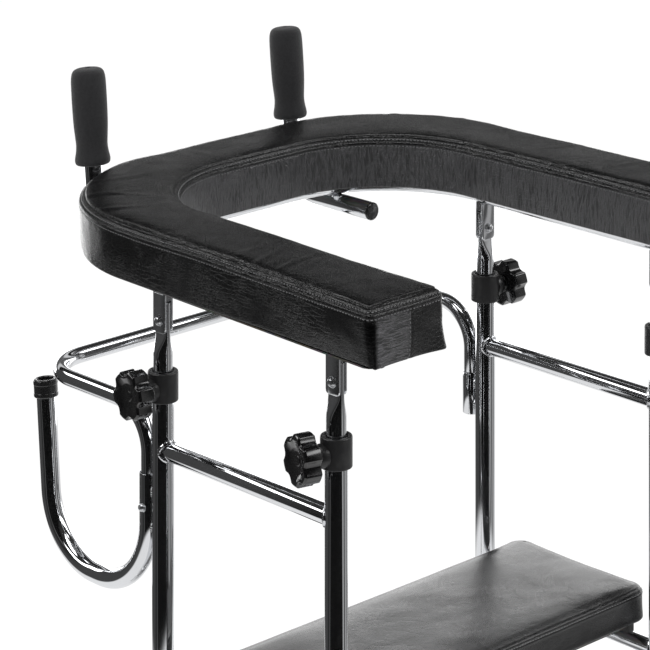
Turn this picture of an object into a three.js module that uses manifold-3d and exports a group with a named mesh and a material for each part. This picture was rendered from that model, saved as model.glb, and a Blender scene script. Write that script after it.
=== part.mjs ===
// Upright walking frame with a padded forearm support, two hand grips, a flip-up seat and four
// swivel casters. Millimetres. Modelled about the middle of the four legs, then moved back by
// MID_Y so that the origin lies on the floor under the middle of the whole frame.
// +X to the user's right, +Y forward, +Z up.
import * as THREE from 'three';
import { mergeVertices } from 'three/addons/utils/BufferGeometryUtils.js';
import Module from 'manifold-3d';

const wasm = await Module();
wasm.setup();

// ---- shared dimensions -------------------------------------------------------------------------
const MID_Y = 30.4756;        // half way between the rearmost and the foremost point
const LEG_X = 262;            // leg axes, half spacing across
const LEG_Y = 144;            // leg axes, half spacing fore and aft
const LEG_R = 12.5;           // legs and base tubes
const LEG_BORE = 11.35;
const SIDE_R = 9.5;           // lower side tubes, cross tubes and front rail
const SIDE_BORE = 8.2;
const SEAT_TUBE_Z = 432;      // lower side tubes
const BASE_Z = 135;           // base tubes
const CASTER_Y = 275;         // caster swivel axes
const STUD_R = 5;             // swivel stud of a caster
const RING_Z = 915;           // tube ring under the pad
const RING_R = 10;
const RING_FRONT = 318;
const RING_REAR = -215;
const RING_BEND = 165;
const SEAT_Z = [462.3, 500];
const FIT = 0.12;             // gap between a tube and what is cut to fit round it
const PIN_FIT = 0.08;         // gap round studs, axles and hinge pins
const BOARD_GAP = 0.25;       // between a board and the padding above it

// ---- materials ---------------------------------------------------------------------------------
const finish = (look) => () => new THREE.MeshStandardMaterial(look);
const chrome = finish({ color: 0xc9ccd0, roughness: 0.12, metalness: 1 });
const steel = finish({ color: 0xb4b7ba, roughness: 0.28, metalness: 1 });
const blackPlastic = finish({ color: 0x1b1c1e, roughness: 0.5, metalness: 0 });
const glossBlack = finish({ color: 0x0e0f10, roughness: 0.15, metalness: 0 });
const leather = finish({ color: 0x1a1b1e, roughness: 0.45, metalness: 0 });
const foam = finish({ color: 0x151516, roughness: 0.9, metalness: 0 });
const board = finish({ color: 0x26231f, roughness: 0.85, metalness: 0 });
const rubber = finish({ color: 0x1f2022, roughness: 0.8, metalness: 0 });

// ---- meshes and booleans -----------------------------------------------------------------------
const vec = (x, y, z) => new THREE.Vector3(x, y, z);
const UP = vec(0, 0, 1);

// welds shared corners, drops empty faces and turns the skin outwards
function tidy(geometry) {
  const bare = new THREE.BufferGeometry();
  bare.setAttribute('position', geometry.getAttribute('position'));
  bare.setIndex(geometry.index);
  const welded = mergeVertices(bare, 2e-4);
  const position = welded.getAttribute('position');
  const source = welded.index.array;
  const faces = [];
  let volume = 0;
  for (let i = 0; i < source.length; i += 3) {
    const face = [source[i], source[i + 1], source[i + 2]];
    if (new Set(face).size < 3) continue;
    faces.push(...face);
    const [a, b, c] = face.map((k) => vec(0, 0, 0).fromBufferAttribute(position, k));
    volume += a.dot(b.cross(c));
  }
  if (volume < 0) {
    for (let i = 0; i < faces.length; i += 3) {
      [faces[i + 1], faces[i + 2]] = [faces[i + 2], faces[i + 1]];
    }
  }
  const out = new THREE.BufferGeometry();
  out.setAttribute('position', position);
  out.setIndex(faces);
  return out;
}

function solid(geometry) {
  const clean = tidy(geometry);
  return new wasm.Manifold(new wasm.Mesh({
    numProp: 3,
    vertProperties: new Float32Array(clean.getAttribute('position').array),
    triVerts: new Uint32Array(clean.index.array),
  }));
}

function skin(manifold) {
  const mesh = manifold.getMesh();
  const out = new THREE.BufferGeometry();
  out.setAttribute('position', new THREE.BufferAttribute(new Float32Array(mesh.vertProperties), 3));
  out.setIndex(Array.from(mesh.triVerts));
  return out;
}

// keeps the biggest piece of a boolean result
function biggest(manifold) {
  const parts = manifold.decompose();
  if (parts.length === 1) return manifold;
  return parts.sort((p, q) => q.volume() - p.volume())[0];
}

const cut = (body, ...tools) => (
  skin(biggest(tools.reduce((rest, tool) => rest.subtract(solid(tool)), solid(body)))));
const fuse = (first, ...others) => (
  skin(others.reduce((sum, other) => sum.add(solid(other)), solid(first))));

// ---- outlines ----------------------------------------------------------------------------------
const rad = (degrees) => (degrees * Math.PI) / 180;
const outside = (r, n) => r / Math.cos(Math.PI / n);   // corner radius of n flats at radius r
const toPoints = (pairs) => pairs.map(([x, y]) => new THREE.Vector2(x, y));
const polar = (r, angle, cx = 0, cy = 0) => (
  new THREE.Vector2(cx + r * Math.cos(angle), cy + r * Math.sin(angle)));

// n sides, turned half a side
const polygon = (r, n) => (
  Array.from({ length: n }, (_, i) => polar(r, (2 * Math.PI * (i + 0.5)) / n)));

// n segments between two angles in degrees
const arc = (cx, cy, r, from, to, n) => (
  Array.from({ length: n + 1 }, (_, i) => polar(r, rad(from + ((to - from) * i) / n), cx, cy)));

const roundRect = ([x0, x1], [y0, y1], r, n) => [
  ...arc(x1 - r, y1 - r, r, 0, 90, n), ...arc(x0 + r, y1 - r, r, 90, 180, n),
  ...arc(x0 + r, y0 + r, r, 180, 270, n), ...arc(x1 - r, y0 + r, r, 270, 360, n)];

// ---- basic shapes ------------------------------------------------------------------------------
// a route of straight runs and round bends, sampled only where it bends
class BentPath extends THREE.Curve {
  constructor(points, bends, step) {
    super();
    this.stations = [];
    const add = (point, tangent) => {
      this.stations.push({ point: point.clone(), tangent: tangent.clone().normalize() });
    };
    const heading = (i) => points[i + 1].clone().sub(points[i]).normalize();
    add(points[0], heading(0));
    for (let i = 1; i < points.length - 1; i++) {
      const before = heading(i - 1), after = heading(i);
      const turn = before.angleTo(after);
      if (turn < 1e-6) {
        add(points[i], before);
        continue;
      }
      const radius = bends[i - 1];
      const axis = before.clone().cross(after).normalize();
      const start = points[i].clone().addScaledVector(before, -radius * Math.tan(turn / 2));
      const centre = start.clone().addScaledVector(axis.clone().cross(before), radius);
      const n = Math.max(2, Math.ceil((turn * 180) / Math.PI / step));
      for (let k = 0; k <= n; k++) {
        const swing = new THREE.Quaternion().setFromAxisAngle(axis, (turn * k) / n);
        const arm = start.clone().sub(centre).applyQuaternion(swing);
        add(centre.clone().add(arm), before.clone().applyQuaternion(swing));
      }
    }
    add(points[points.length - 1], heading(points.length - 2));
  }
  get steps() { return this.stations.length - 1; }
  // ExtrudeGeometry asks for these two
  getTangentAt(u) { return this.stations[Math.round(u * this.steps)].tangent.clone(); }
  getSpacedPoints() { return this.stations.map((station) => station.point.clone()); }
}

// a tube, or a bar if no bore is given; bends are radii, step is degrees of bend per segment
function tube(points, { radius, bore, bends = [], sides = 12, step = 22.5 }) {
  const path = new BentPath(points, bends, step);
  const shape = new THREE.Shape(polygon(radius, sides));
  if (bore) shape.holes.push(new THREE.Path(polygon(bore, sides)));
  return tidy(new THREE.ExtrudeGeometry(shape, { steps: path.steps, extrudePath: path }));
}

// turns the axis `from` to dir and moves the origin to base
function aim(geometry, from, dir, base) {
  const turn = new THREE.Quaternion().setFromUnitVectors(from, dir.clone().normalize());
  return geometry.applyQuaternion(turn).translate(base.x, base.y, base.z);
}

// a turned piece: profile of [radius, height] pairs from base along dir
function turned(profile, base, dir, sides, spin = 0) {
  const lathe = new THREE.LatheGeometry(toPoints(profile), sides).rotateY(spin);
  return tidy(aim(lathe, vec(0, 1, 0), dir, base));
}

function rod(from, to, r, sides = 12) {
  const along = to.clone().sub(from);
  const length = along.length();
  return turned([[0, 0], [r, 0], [r, length], [0, length]], from, along, sides);
}

// a cutting rod whose flats sit at radius r
const drill = (from, to, r, sides = 12) => rod(from, to, outside(r, sides), sides);

function block([x0, x1], [y0, y1], [z0, z1]) {
  const box = new THREE.BoxGeometry(x1 - x0, y1 - y0, z1 - z0);
  return tidy(box.translate((x0 + x1) / 2, (y0 + y1) / 2, (z0 + z1) / 2));
}

// an outline raised from z0 to z1, its edges bevelled inwards
function slab(points, [z0, z1], bevel = 0) {
  const extruded = new THREE.ExtrudeGeometry(new THREE.Shape(points), {
    depth: z1 - z0 - 2 * bevel,
    bevelEnabled: bevel > 0,
    bevelThickness: bevel,
    bevelSize: bevel,
    bevelOffset: -bevel,
    bevelSegments: 1,
  });
  return tidy(extruded.translate(0, 0, z0 + bevel));
}

const group = new THREE.Group();
function place(name, geometry, material) {
  const moved = mergeVertices(geometry.translate(0, -MID_Y, 0), 1e-4);
  moved.computeVertexNormals();
  const mesh = new THREE.Mesh(moved, material);
  mesh.name = name;
  group.add(mesh);
}

// ---- tools that fit round the tubes; s is -1 on the left, 1 on the right -----------------------
const SIDES = [['left', -1], ['right', 1]];
const legTool = (x, y) => drill(vec(x, y, 0), vec(x, y, 1000), LEG_R + FIT, 24);
const alongSide = (s, z, reach, r, sides) => (
  drill(vec(s * LEG_X, -reach, z), vec(s * LEG_X, reach, z), r, sides));
const baseTool = (s) => alongSide(s, BASE_Z, 400, LEG_R + FIT, 24);
const seatTubeTool = (s) => alongSide(s, SEAT_TUBE_Z, 200, SIDE_R + FIT, 16);

const ringTube = (radius, bore) => tube([
  vec(LEG_X, RING_REAR, RING_Z), vec(LEG_X, RING_FRONT, RING_Z),
  vec(-LEG_X, RING_FRONT, RING_Z), vec(-LEG_X, RING_REAR, RING_Z),
], { radius, bore, bends: [RING_BEND, RING_BEND], step: 15 });
const ringTool = ringTube(outside(RING_R + FIT, 12));

// ---- the four corners --------------------------------------------------------------------------
const LEG_TOP = 811;
const LIFT_R = 11;            // telescoping upper tube
const LIFT_BORE = 9.7;
const LIFT_GAP = 0.35;        // round it in the collar
const LIFT_LOW = 470;         // its lower end at the lowest setting
const LIFT_FLAT_A = 835;      // flattening starts
const LIFT_FLAT_B = 861;      // flattening ends
const LIFT_TOP = 896;
const FLAT_HALF_W = 10.4;
const FLAT_HALF_T = 3.3;
const FLAT_POWER = 2 / 6;     // squareness of the flattened section, a superellipse
const COLLAR_Z = [784, 817.5];
const COLLAR_R = 17.5;
const SCREW_R = 4;
const SCREW_HOLE_R = 4.7;
const SCREW_TIP = 11.35;      // from the leg axis
const KNOB_Z = 798;
const KNOB_R = 28;
const KNOB_THICK = 21.2;
const KNOB_OUT = 29.3;        // inner face of the knob, from the leg axis
const PIVOT_Z = 875;          // bolts of the pad brackets
const PIVOT_R = 3;
const PIVOT_HOLE_R = 3.35;
const BRACKET = { halfW: 10.5, halfT: 6, halfSlot: 3.75, top: 914 };
// one lobe and the gap after it: [degrees, radius]
const STAR = [[-13, KNOB_R], [13, KNOB_R], [21.5, KNOB_R * 0.86], [38.5, KNOB_R * 0.86]];

// screw: degrees it points forward of straight outwards; turn: of the star knob in degrees
function corner(end, side, { screw = 0, turn, bolt }) {
  const s = side === 'left' ? -1 : 1;
  return {
    id: `${end}_${side}`, side, s, turn, bolt,
    rear: end === 'rear',
    x: s * LEG_X,
    y: end === 'rear' ? -LEG_Y : LEG_Y,
    screw: vec(s * Math.cos(rad(screw)), Math.sin(rad(screw)), 0),
  };
}
// the bracket of the front right corner is turned a quarter
const corners = [
  corner('front', 'left', { screw: 5, turn: -16, bolt: vec(-1, 0, 0) }),
  corner('rear', 'left', { screw: 15, turn: -3, bolt: vec(-1, 0, 0) }),
  corner('front', 'right', { turn: 10, bolt: vec(0, -1, 0) }),
  corner('rear', 'right', { turn: 10, bolt: vec(1, 0, 0) }),
];

const onScrew = (c, out) => vec(c.x, c.y, KNOB_Z).addScaledVector(c.screw, out);
const onBolt = (c, out) => vec(c.x, c.y, PIVOT_Z).addScaledVector(c.bolt, out);

// outer leg: stands on the base tube, drilled for the clamp screw
const leg = (c) => cut(
  tube([vec(c.x, c.y, BASE_Z), vec(c.x, c.y, LEG_TOP)],
    { radius: LEG_R, bore: LEG_BORE, sides: 16 }),
  baseTool(c.s),
  rod(onScrew(c, 2), onScrew(c, 22), SCREW_HOLE_R, 10),
);

// collar with its side boss, bored for the leg below and the upper tube above
function clampCollar(c) {
  const [low, top] = COLLAR_Z;
  const height = top - low;
  const under = 5;            // the cutting tool starts this far below
  const step = LEG_TOP + 0.3 - low + under;
  const legBore = outside(LEG_R + FIT, 16);
  const liftBore = outside(LIFT_R + LIFT_GAP, 16);
  const body = [
    [0, 0], [COLLAR_R - 1, 0], [COLLAR_R, 1.2],
    [COLLAR_R, height - 2], [COLLAR_R - 1.5, height], [0, height]];
  const boss = [[0, 0], [12.5, 0], [12.5, 20], [11, 25], [0, 25]];
  const bore = [[0, 0], [legBore, 0], [legBore, step], [liftBore, step], [liftBore, 60], [0, 60]];
  return cut(
    fuse(turned(body, vec(c.x, c.y, low), UP, 16), turned(boss, onScrew(c, 1), c.screw, 12)),
    turned(bore, vec(c.x, c.y, low - under), UP, 16),
    rod(onScrew(c, 5), onScrew(c, 40), SCREW_HOLE_R, 10),
  );
}

// six-lobed knob, dished outside, with its washer face and screw
function clampKnob(c) {
  const star = [];
  for (let i = 0; i < 6; i++) {
    for (const [angle, r] of STAR) star.push(polar(r, rad(60 * i + angle + c.turn)));
  }
  const washer = [[0, 0], [9, 0], [10, 1], [10, 6], [0, 6]];
  const dish = [[0, 0], [8, 0], [18, 5], [18, 12], [0, 12]];
  return cut(
    fuse(
      aim(slab(star, [0, KNOB_THICK], 2), UP, c.screw, onScrew(c, KNOB_OUT)),
      turned(washer, onScrew(c, 26.4), c.screw, 14),
      rod(onScrew(c, SCREW_TIP), onScrew(c, 28), SCREW_R, 10),
    ),
    turned(dish, onScrew(c, 46.5), c.screw, 14),
  );
}

// presses the top of a lift tube flat along the bolt, keeping its wall thickness
function flatten(geometry, c) {
  const wide = vec(-c.bolt.y, c.bolt.x, 0);
  const position = geometry.getAttribute('position');
  const squash = (unit, half) => Math.sign(unit) * Math.abs(unit) ** FLAT_POWER * half;
  for (let i = 0; i < position.count; i++) {
    const x = position.getX(i) - c.x, y = position.getY(i) - c.y, z = position.getZ(i);
    const amount = THREE.MathUtils.smoothstep(z, LIFT_FLAT_A, LIFT_FLAT_B);
    if (amount <= 0) continue;
    const r = Math.hypot(x, y);
    const inset = r > (LIFT_R + LIFT_BORE) / 2 ? 0 : LIFT_R - LIFT_BORE;
    const blend = (axis, half) => {
      const unit = (x * axis.x + y * axis.y) / r;
      return THREE.MathUtils.lerp(unit * r, squash(unit, half - inset), amount);
    };
    const across = blend(wide, FLAT_HALF_W), along = blend(c.bolt, FLAT_HALF_T);
    position.setXYZ(i,
      c.x + across * wide.x + along * c.bolt.x,
      c.y + across * wide.y + along * c.bolt.y, z);
  }
  return geometry;
}

function liftTube(c) {
  const heights = [
    LIFT_LOW, LIFT_FLAT_A, (LIFT_FLAT_A + LIFT_FLAT_B) / 2, LIFT_FLAT_B, LIFT_TOP];
  const round = tube(heights.map((z) => vec(c.x, c.y, z)),
    { radius: LIFT_R, bore: LIFT_BORE, sides: 16 });
  return cut(flatten(round, c), drill(onBolt(c, -20), onBolt(c, 20), PIVOT_HOLE_R));
}

// clevis under the ring, with its bolt through the flattened tube
function pivotBracket(c) {
  const { halfW, halfT, halfSlot, top } = BRACKET;
  const box = (w, t, zs) => {
    const [halfX, halfY] = c.bolt.x !== 0 ? [t, w] : [w, t];
    return block([c.x - halfX, c.x + halfX], [c.y - halfY, c.y + halfY], zs);
  };
  const head = [[0, 0], [5.2, 0], [5.2, 2], [3.8, 4], [0, 4.8]];
  const nut = [[0, 0], [4.6, 0], [4.6, 3.6], [2.8, 3.8], [2.8, 5.6], [0, 6]];
  return fuse(
    cut(
      box(halfW, halfT, [LIFT_FLAT_B, top]),
      box(halfW + 1, halfSlot, [LIFT_FLAT_B - 1, LIFT_TOP + 1.5]),
      ringTool,
    ),
    rod(onBolt(c, -halfT), onBolt(c, halfT), PIVOT_R),
    turned(head, onBolt(c, halfT - 0.2), c.bolt, 14),
    turned(nut, onBolt(c, 0.2 - halfT), c.bolt.clone().negate(), 6),
  );
}

for (const c of corners) {
  place(`leg_${c.id}`, leg(c), chrome());
  place(`clamp_collar_${c.id}`, clampCollar(c), blackPlastic());
  place(`clamp_knob_${c.id}`, clampKnob(c), glossBlack());
  place(`lift_tube_${c.id}`, liftTube(c), chrome());
  place(`pivot_bracket_${c.id}`, pivotBracket(c), steel());
}

// ---- side frames and cross tubes ---------------------------------------------------------------
const UPPER_R = 10.7;         // upper side tubes
const UPPER_BORE = 9.4;
const UPPER_Z = 728.3;
const FRONT_CROSS_Z = 405;    // below the lower side tubes
const BASE_CROSS_Y = 205;
const STOP_Y = [-100, -70];

// a straight tube whose ends are shaped to fit the legs
const betweenLegs = (a, b, radius, bore) => (
  cut(tube([a, b], { radius, bore, sides: 16 }), legTool(a.x, a.y), legTool(b.x, b.y)));
const sideTube = (s, z, radius, bore) => (
  betweenLegs(vec(s * LEG_X, LEG_Y, z), vec(s * LEG_X, -LEG_Y, z), radius, bore));

// base tube with a caster socket at each end and a small hole in its underside
function baseTube(s) {
  const at = (y, z) => vec(s * LEG_X, y, z);
  const profile = [[0, 0], [14, 0], [14, 48], [13, 50], [0, 50]];
  const ends = [-CASTER_Y, CASTER_Y];
  return cut(
    fuse(
      tube(ends.map((y) => at(y, BASE_Z)), { radius: LEG_R, bore: LEG_BORE }),
      ...ends.map((y) => turned(profile, at(y, 111), UP, 14)),
    ),
    ...ends.map((y) => drill(at(y, 100), at(y, 152), STUD_R + PIN_FIT)),
    rod(at(40, 115), at(40, 130), 2.5, 8),
  );
}

// a block that sits on a lower side tube
const saddle = (s, half, ys, zs) => (
  cut(block([s * LEG_X - half, s * LEG_X + half], ys, zs), seatTubeTool(s)));

// rubber stop that the seat rests on
const seatStop = (s) => saddle(s, 5.5, STOP_Y, [SEAT_TUBE_Z, SEAT_Z[0] - 0.3]);

for (const [side, s] of SIDES) {
  place(`upper_side_tube_${side}`, sideTube(s, UPPER_Z, UPPER_R, UPPER_BORE), chrome());
  place(`lower_side_tube_${side}`, sideTube(s, SEAT_TUBE_Z, SIDE_R, SIDE_BORE), chrome());
  place(`base_tube_${side}`, baseTube(s), chrome());
  place(`seat_stop_${side}`, seatStop(s), rubber());
}
place('front_cross_tube', betweenLegs(
  vec(-LEG_X, LEG_Y, FRONT_CROSS_Z), vec(LEG_X, LEG_Y, FRONT_CROSS_Z), SIDE_R, SIDE_BORE,
), chrome());
place('base_cross_tube', cut(
  tube([vec(-LEG_X, BASE_CROSS_Y, BASE_Z), vec(LEG_X, BASE_CROSS_Y, BASE_Z)],
    { radius: SIDE_R, bore: SIDE_BORE, sides: 16 }),
  baseTool(-1), baseTool(1),
), chrome());

// ---- front rail, its right socket and the pole holder on the left ------------------------------
const RAIL_Z = 767.5;
const RAIL_FRONT = 372;
const HOLDER_Y = 168.2;       // upright of the pole holder tube
const HOLDER_R = 11.4;
const HOLDER_BORE = 9.95;
const HOLDER_LOW = 552.8;     // axis at the bottom of its bend
const HOLDER_END = vec(-LEG_X, 361, 748);
const HOLDER_LEAN = vec(0, 0.0866, 1).normalize();
const SOCKET_Y = 167.9;
const SOCKET_LOW = 637;

const frontRail = () => tube([
  vec(-LEG_X, HOLDER_Y, 662), vec(-LEG_X, HOLDER_Y, RAIL_Z), vec(-LEG_X, RAIL_FRONT, RAIL_Z),
  vec(LEG_X, RAIL_FRONT, RAIL_Z), vec(LEG_X, SOCKET_Y, RAIL_Z), vec(LEG_X, SOCKET_Y, 657),
], { radius: SIDE_R, bore: SIDE_BORE, bends: [50, 62, 62, 50], step: 30 });

// J-shaped tube with a domed button on the outer face of its upright
const holderTube = () => fuse(
  tube([
    vec(-LEG_X, HOLDER_Y, 696), vec(-LEG_X, HOLDER_Y, HOLDER_LOW),
    vec(-LEG_X, 344.1, HOLDER_LOW), HOLDER_END,
  ], { radius: HOLDER_R, bore: HOLDER_BORE, bends: [87, 84], sides: 14, step: 22 }),
  turned([[0, 0], [4.6, 0], [4.6, 1.6], [3.2, 3.4], [0, 4]],
    vec(-LEG_X - 10.4, HOLDER_Y, 658), vec(-1, 0, 0), 10),
);

// open cap over the front end of the holder tube
function holderCap() {
  const bore = outside(HOLDER_R + FIT, 14);
  return turned([
    [bore, 0], [13.8, 0], [14.5, 1], [14.5, 19], [13.4, 21],
    [9.8, 21], [9.8, 13.2], [bore, 13.2], [bore, 0],
  ], HOLDER_END.clone().addScaledVector(HOLDER_LEAN, -12.9), HOLDER_LEAN, 14);
}

// sleeve with a closed bottom
function railSocket() {
  const at = (z) => vec(LEG_X, SOCKET_Y, z);
  return fuse(
    tube([at(689), at(SOCKET_LOW)], { radius: 10.95, bore: 9.9 }),
    rod(at(SOCKET_LOW), at(SOCKET_LOW + 2.5), 10.3),
  );
}

place('front_rail', frontRail(), chrome());
place('holder_tube', holderTube(), chrome());
place('holder_cap', holderCap(), glossBlack());
place('rail_socket', railSocket(), chrome());

// ---- ring, board and forearm pad ---------------------------------------------------------------
const RING_BORE = 8.8;
const PAD_LOW = 927.4;
const PAD_TOP = 992;
const PAD_REAR = -262;
const PAD_FRONT = 368;
const PAD_OUT = [327, 315];   // outer half widths, rear and at the front corner
const PAD_IN = [216, 208];    // inner half widths, likewise
const PAD_IN_FRONT = 267;
const PAD_R_OUT = 213;
const PAD_R_IN = 145;
const PAD_R_END = 9;          // corners at the rear ends

// U shape, open to the rear
function padOutline(inset) {
  const [outRear, outFront] = PAD_OUT.map((w) => w - inset);
  const [inRear, inFront] = PAD_IN.map((w) => w + inset);
  const endY = PAD_REAR + inset + PAD_R_END;
  const rOut = PAD_R_OUT - inset, rIn = PAD_R_IN + inset;
  const outer = [
    ...arc(inRear + PAD_R_END, endY, PAD_R_END, 180, 270, 2),
    ...arc(outRear - PAD_R_END, endY, PAD_R_END, 270, 360, 2),
    ...arc(outFront - rOut, PAD_FRONT - inset - rOut, rOut, 0, 90, 10),
  ];
  const inner = arc(inFront - rIn, PAD_IN_FRONT + inset - rIn, rIn, 90, 0, 8);
  const mirror = (list) => list.map((p) => new THREE.Vector2(-p.x, p.y)).reverse();
  return [...outer, ...mirror(outer), ...mirror(inner), ...inner];
}

place('pad_ring_tube', ringTube(RING_R, RING_BORE), chrome());
place('pad_board', slab(padOutline(9), [PAD_LOW - 2.2, PAD_LOW - BOARD_GAP]), board());
place('forearm_pad', slab(padOutline(0), [PAD_LOW, PAD_TOP], 5), leather());

// ---- handles -----------------------------------------------------------------------------------
const BAR_Z = 894;
const BAR_X = 162;
const BAR_R = 11;
const BAR_BORE = 9.7;
const BAR_INNER = 246;        // rear end of the bar
const BAR_BEND = 45;
const BAR_TOP = 1088;
const STEM_Y = 397;           // stem axis at STEM_Z
const STEM_Z = 982;
const STEM_LEAN = 0.0928;     // forward per millimetre of height
const GRIP_LOW = 984.5;
const GRIP_BORE = outside(BAR_R + FIT, 16);
// [radius, height]: the closed top, the waisted outside, then the bore
const GRIP = [
  [0, 116], [12, 115.4], [17.5, 113.6], [20.3, 110], [21.2, 104], [21.4, 78], [21, 50],
  [19.7, 33], [19.1, 23], [20.4, 13], [21.6, 6], [21, 1.6], [18.3, 0],
  [GRIP_BORE, 0], [GRIP_BORE, 106], [0, 106],
];
const PLUG = [[0, 0], [9, 0], [11.2, 1], [11.2, 3], [9.35, 3], [9.35, 15], [0, 15]];

const stemAt = (x, z) => vec(x, STEM_Y + (z - STEM_Z) * STEM_LEAN, z);
const handleBar = (x) => tube(
  [vec(x, BAR_INNER, BAR_Z), stemAt(x, BAR_Z), stemAt(x, BAR_TOP)],
  { radius: BAR_R, bore: BAR_BORE, bends: [BAR_BEND] });
const handleGrip = (x) => turned(GRIP, stemAt(x, GRIP_LOW), vec(0, STEM_LEAN, 1), 16);
const handlePlug = (x) => turned(PLUG, vec(x, BAR_INNER - 3.3, BAR_Z), vec(0, 1, 0), 12);

for (const [side, s] of SIDES) {
  place(`handle_bar_${side}`, handleBar(s * BAR_X), chrome());
  place(`handle_grip_${side}`, handleGrip(s * BAR_X), foam());
  place(`handle_plug_${side}`, handlePlug(s * BAR_X), blackPlastic());
}

// ---- seat --------------------------------------------------------------------------------------
const HINGE_Y = 80;
const HINGE_Z = 450.5;
const HINGE_R = 4;
const KNUCKLE_X = 170;
const hingeAt = (x) => vec(x, HINGE_Y, HINGE_Z);

// board with two hinge knuckles under its front edge
function seatBoard() {
  const knuckle = (x) => rod(hingeAt(x - 20), hingeAt(x + 20), 7.5, 16);
  const outline = roundRect([-254, 254], [-112, 86], 22, 4);
  return cut(
    fuse(slab(outline, [454.9, SEAT_Z[0] - BOARD_GAP]), knuckle(-KNUCKLE_X), knuckle(KNUCKLE_X)),
    drill(hingeAt(-300), hingeAt(300), HINGE_R + PIN_FIT, 16),
  );
}

// hinge rod with a lug on each lower side tube
function hingeRod() {
  const lug = (s) => saddle(s, 5, [HINGE_Y - 8, HINGE_Y + 8], [434, HINGE_Z + 6]);
  return fuse(rod(hingeAt(-258), hingeAt(258), HINGE_R, 16), lug(-1), lug(1));
}

place('seat_pad', slab(roundRect([-272, 272], [-124, 93], 24, 4), SEAT_Z, 4), leather());
place('seat_board', seatBoard(), board());
place('seat_hinge_rod', hingeRod(), steel());

// ---- casters -----------------------------------------------------------------------------------
const WHEEL_R = 50;
const WHEEL_SIDES = 18;
const TRAIL = 35;             // axle behind the swivel axis
const AXLE_R = 4;
const FORK_HALF = 17;         // half width over the cheeks
const CHEEK_THICK = 2.5;
const FORK_TOP = 107.5;
const PEDAL_Y = -53;          // pedal pin, from the swivel axis
const PEDAL_Z = 103.5;
const PEDAL_PIN_R = 3;
const PEDAL_HALF = 13.2;
// cheek outline, [y from the swivel axis, z]; the rear forks reach back to carry the pedal
const CHEEK = [[12, FORK_TOP], [12, 96], [-24, 42], [-31, 37], [-39, 37], [-46, 42]];
const CHEEK_BACK = { front: [[-48, FORK_TOP]], rear: [[-61, 97], [-61, FORK_TOP]] };

function casterParts(c) {
  const y = c.rear ? -CASTER_Y : CASTER_Y;
  const at = (dx, dy, z) => vec(c.x + dx, y + dy, z);
  const axle = (x0, x1, r, sides) => (
    rod(at(x0, -TRAIL, WHEEL_R), at(x1, -TRAIL, WHEEL_R), r, sides));
  const pedalEnds = (half) => [at(-half, PEDAL_Y, PEDAL_Z), at(half, PEDAL_Y, PEDAL_Z)];

  function cheek(dx) {
    const outline = toPoints([...CHEEK, ...CHEEK_BACK[c.rear ? 'rear' : 'front']]);
    const upright = new THREE.Matrix4().makeBasis(vec(0, 1, 0), UP, vec(1, 0, 0));
    return slab(outline, [0, CHEEK_THICK]).applyMatrix4(upright).translate(c.x + dx, y, 0);
  }

  const fork = () => fuse(
    block([c.x - FORK_HALF, c.x + FORK_HALF], [y - 40, y + 12], [104, FORK_TOP]),
    cheek(-FORK_HALF), cheek(FORK_HALF - CHEEK_THICK),
    rod(at(0, 0, 105), at(0, 0, 110.7), 13, 16),
    rod(at(0, 0, 106), at(0, 0, 151), STUD_R),
    axle(-19, 19, AXLE_R, 12),
    axle(-20.5, -FORK_HALF, 7, 6), axle(FORK_HALF, 20.5, 7, 6),
    ...(c.rear ? [rod(...pedalEnds(16), PEDAL_PIN_R)] : []),
  );

  // tyre, thinner web and hub, turned so that a flat of the tyre lies on the floor
  function wheel() {
    const rim = outside(WHEEL_R, WHEEL_SIDES);
    const bore = outside(AXLE_R + PIN_FIT, WHEEL_SIDES);
    const profile = [
      [bore, -13.6], [10, -13.6], [10, -8.5], [33, -8.5], [33, -12], [rim - 4, -12], [rim, -8],
      [rim, 8], [rim - 4, 12], [33, 12], [33, 8.5], [10, 8.5], [10, 13.6], [bore, 13.6],
      [bore, -13.6],
    ];
    const spin = Math.PI / WHEEL_SIDES;
    return turned(profile, at(0, -TRAIL, WHEEL_R), vec(1, 0, 0), WHEEL_SIDES, spin);
  }

  const pedal = () => cut(
    fuse(
      rod(...pedalEnds(PEDAL_HALF), 5.3, 16),
      block([c.x - PEDAL_HALF, c.x + PEDAL_HALF], [y - 92, y - 54], [102.5, 107]),
    ),
    drill(...pedalEnds(20), PEDAL_PIN_R + PIN_FIT),
  );
  return { fork, wheel, pedal };
}

for (const c of corners) {
  const { fork, wheel, pedal } = casterParts(c);
  place(`caster_fork_${c.id}`, fork(), steel());
  place(`caster_wheel_${c.id}`, wheel(), rubber());
  if (c.rear) place(`brake_pedal_${c.side}`, pedal(), blackPlastic());
}

export default group;
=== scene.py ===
"""Looks for an upright walking frame with a padded forearm support, a flip-up seat and four swivel casters.

Lengths in the geometry code are millimetres and are turned into metres when a mesh is made. Everything is built on the
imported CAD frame: X to the user's right, Y forward, Z up, origin on the floor.
"""
import math

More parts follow.
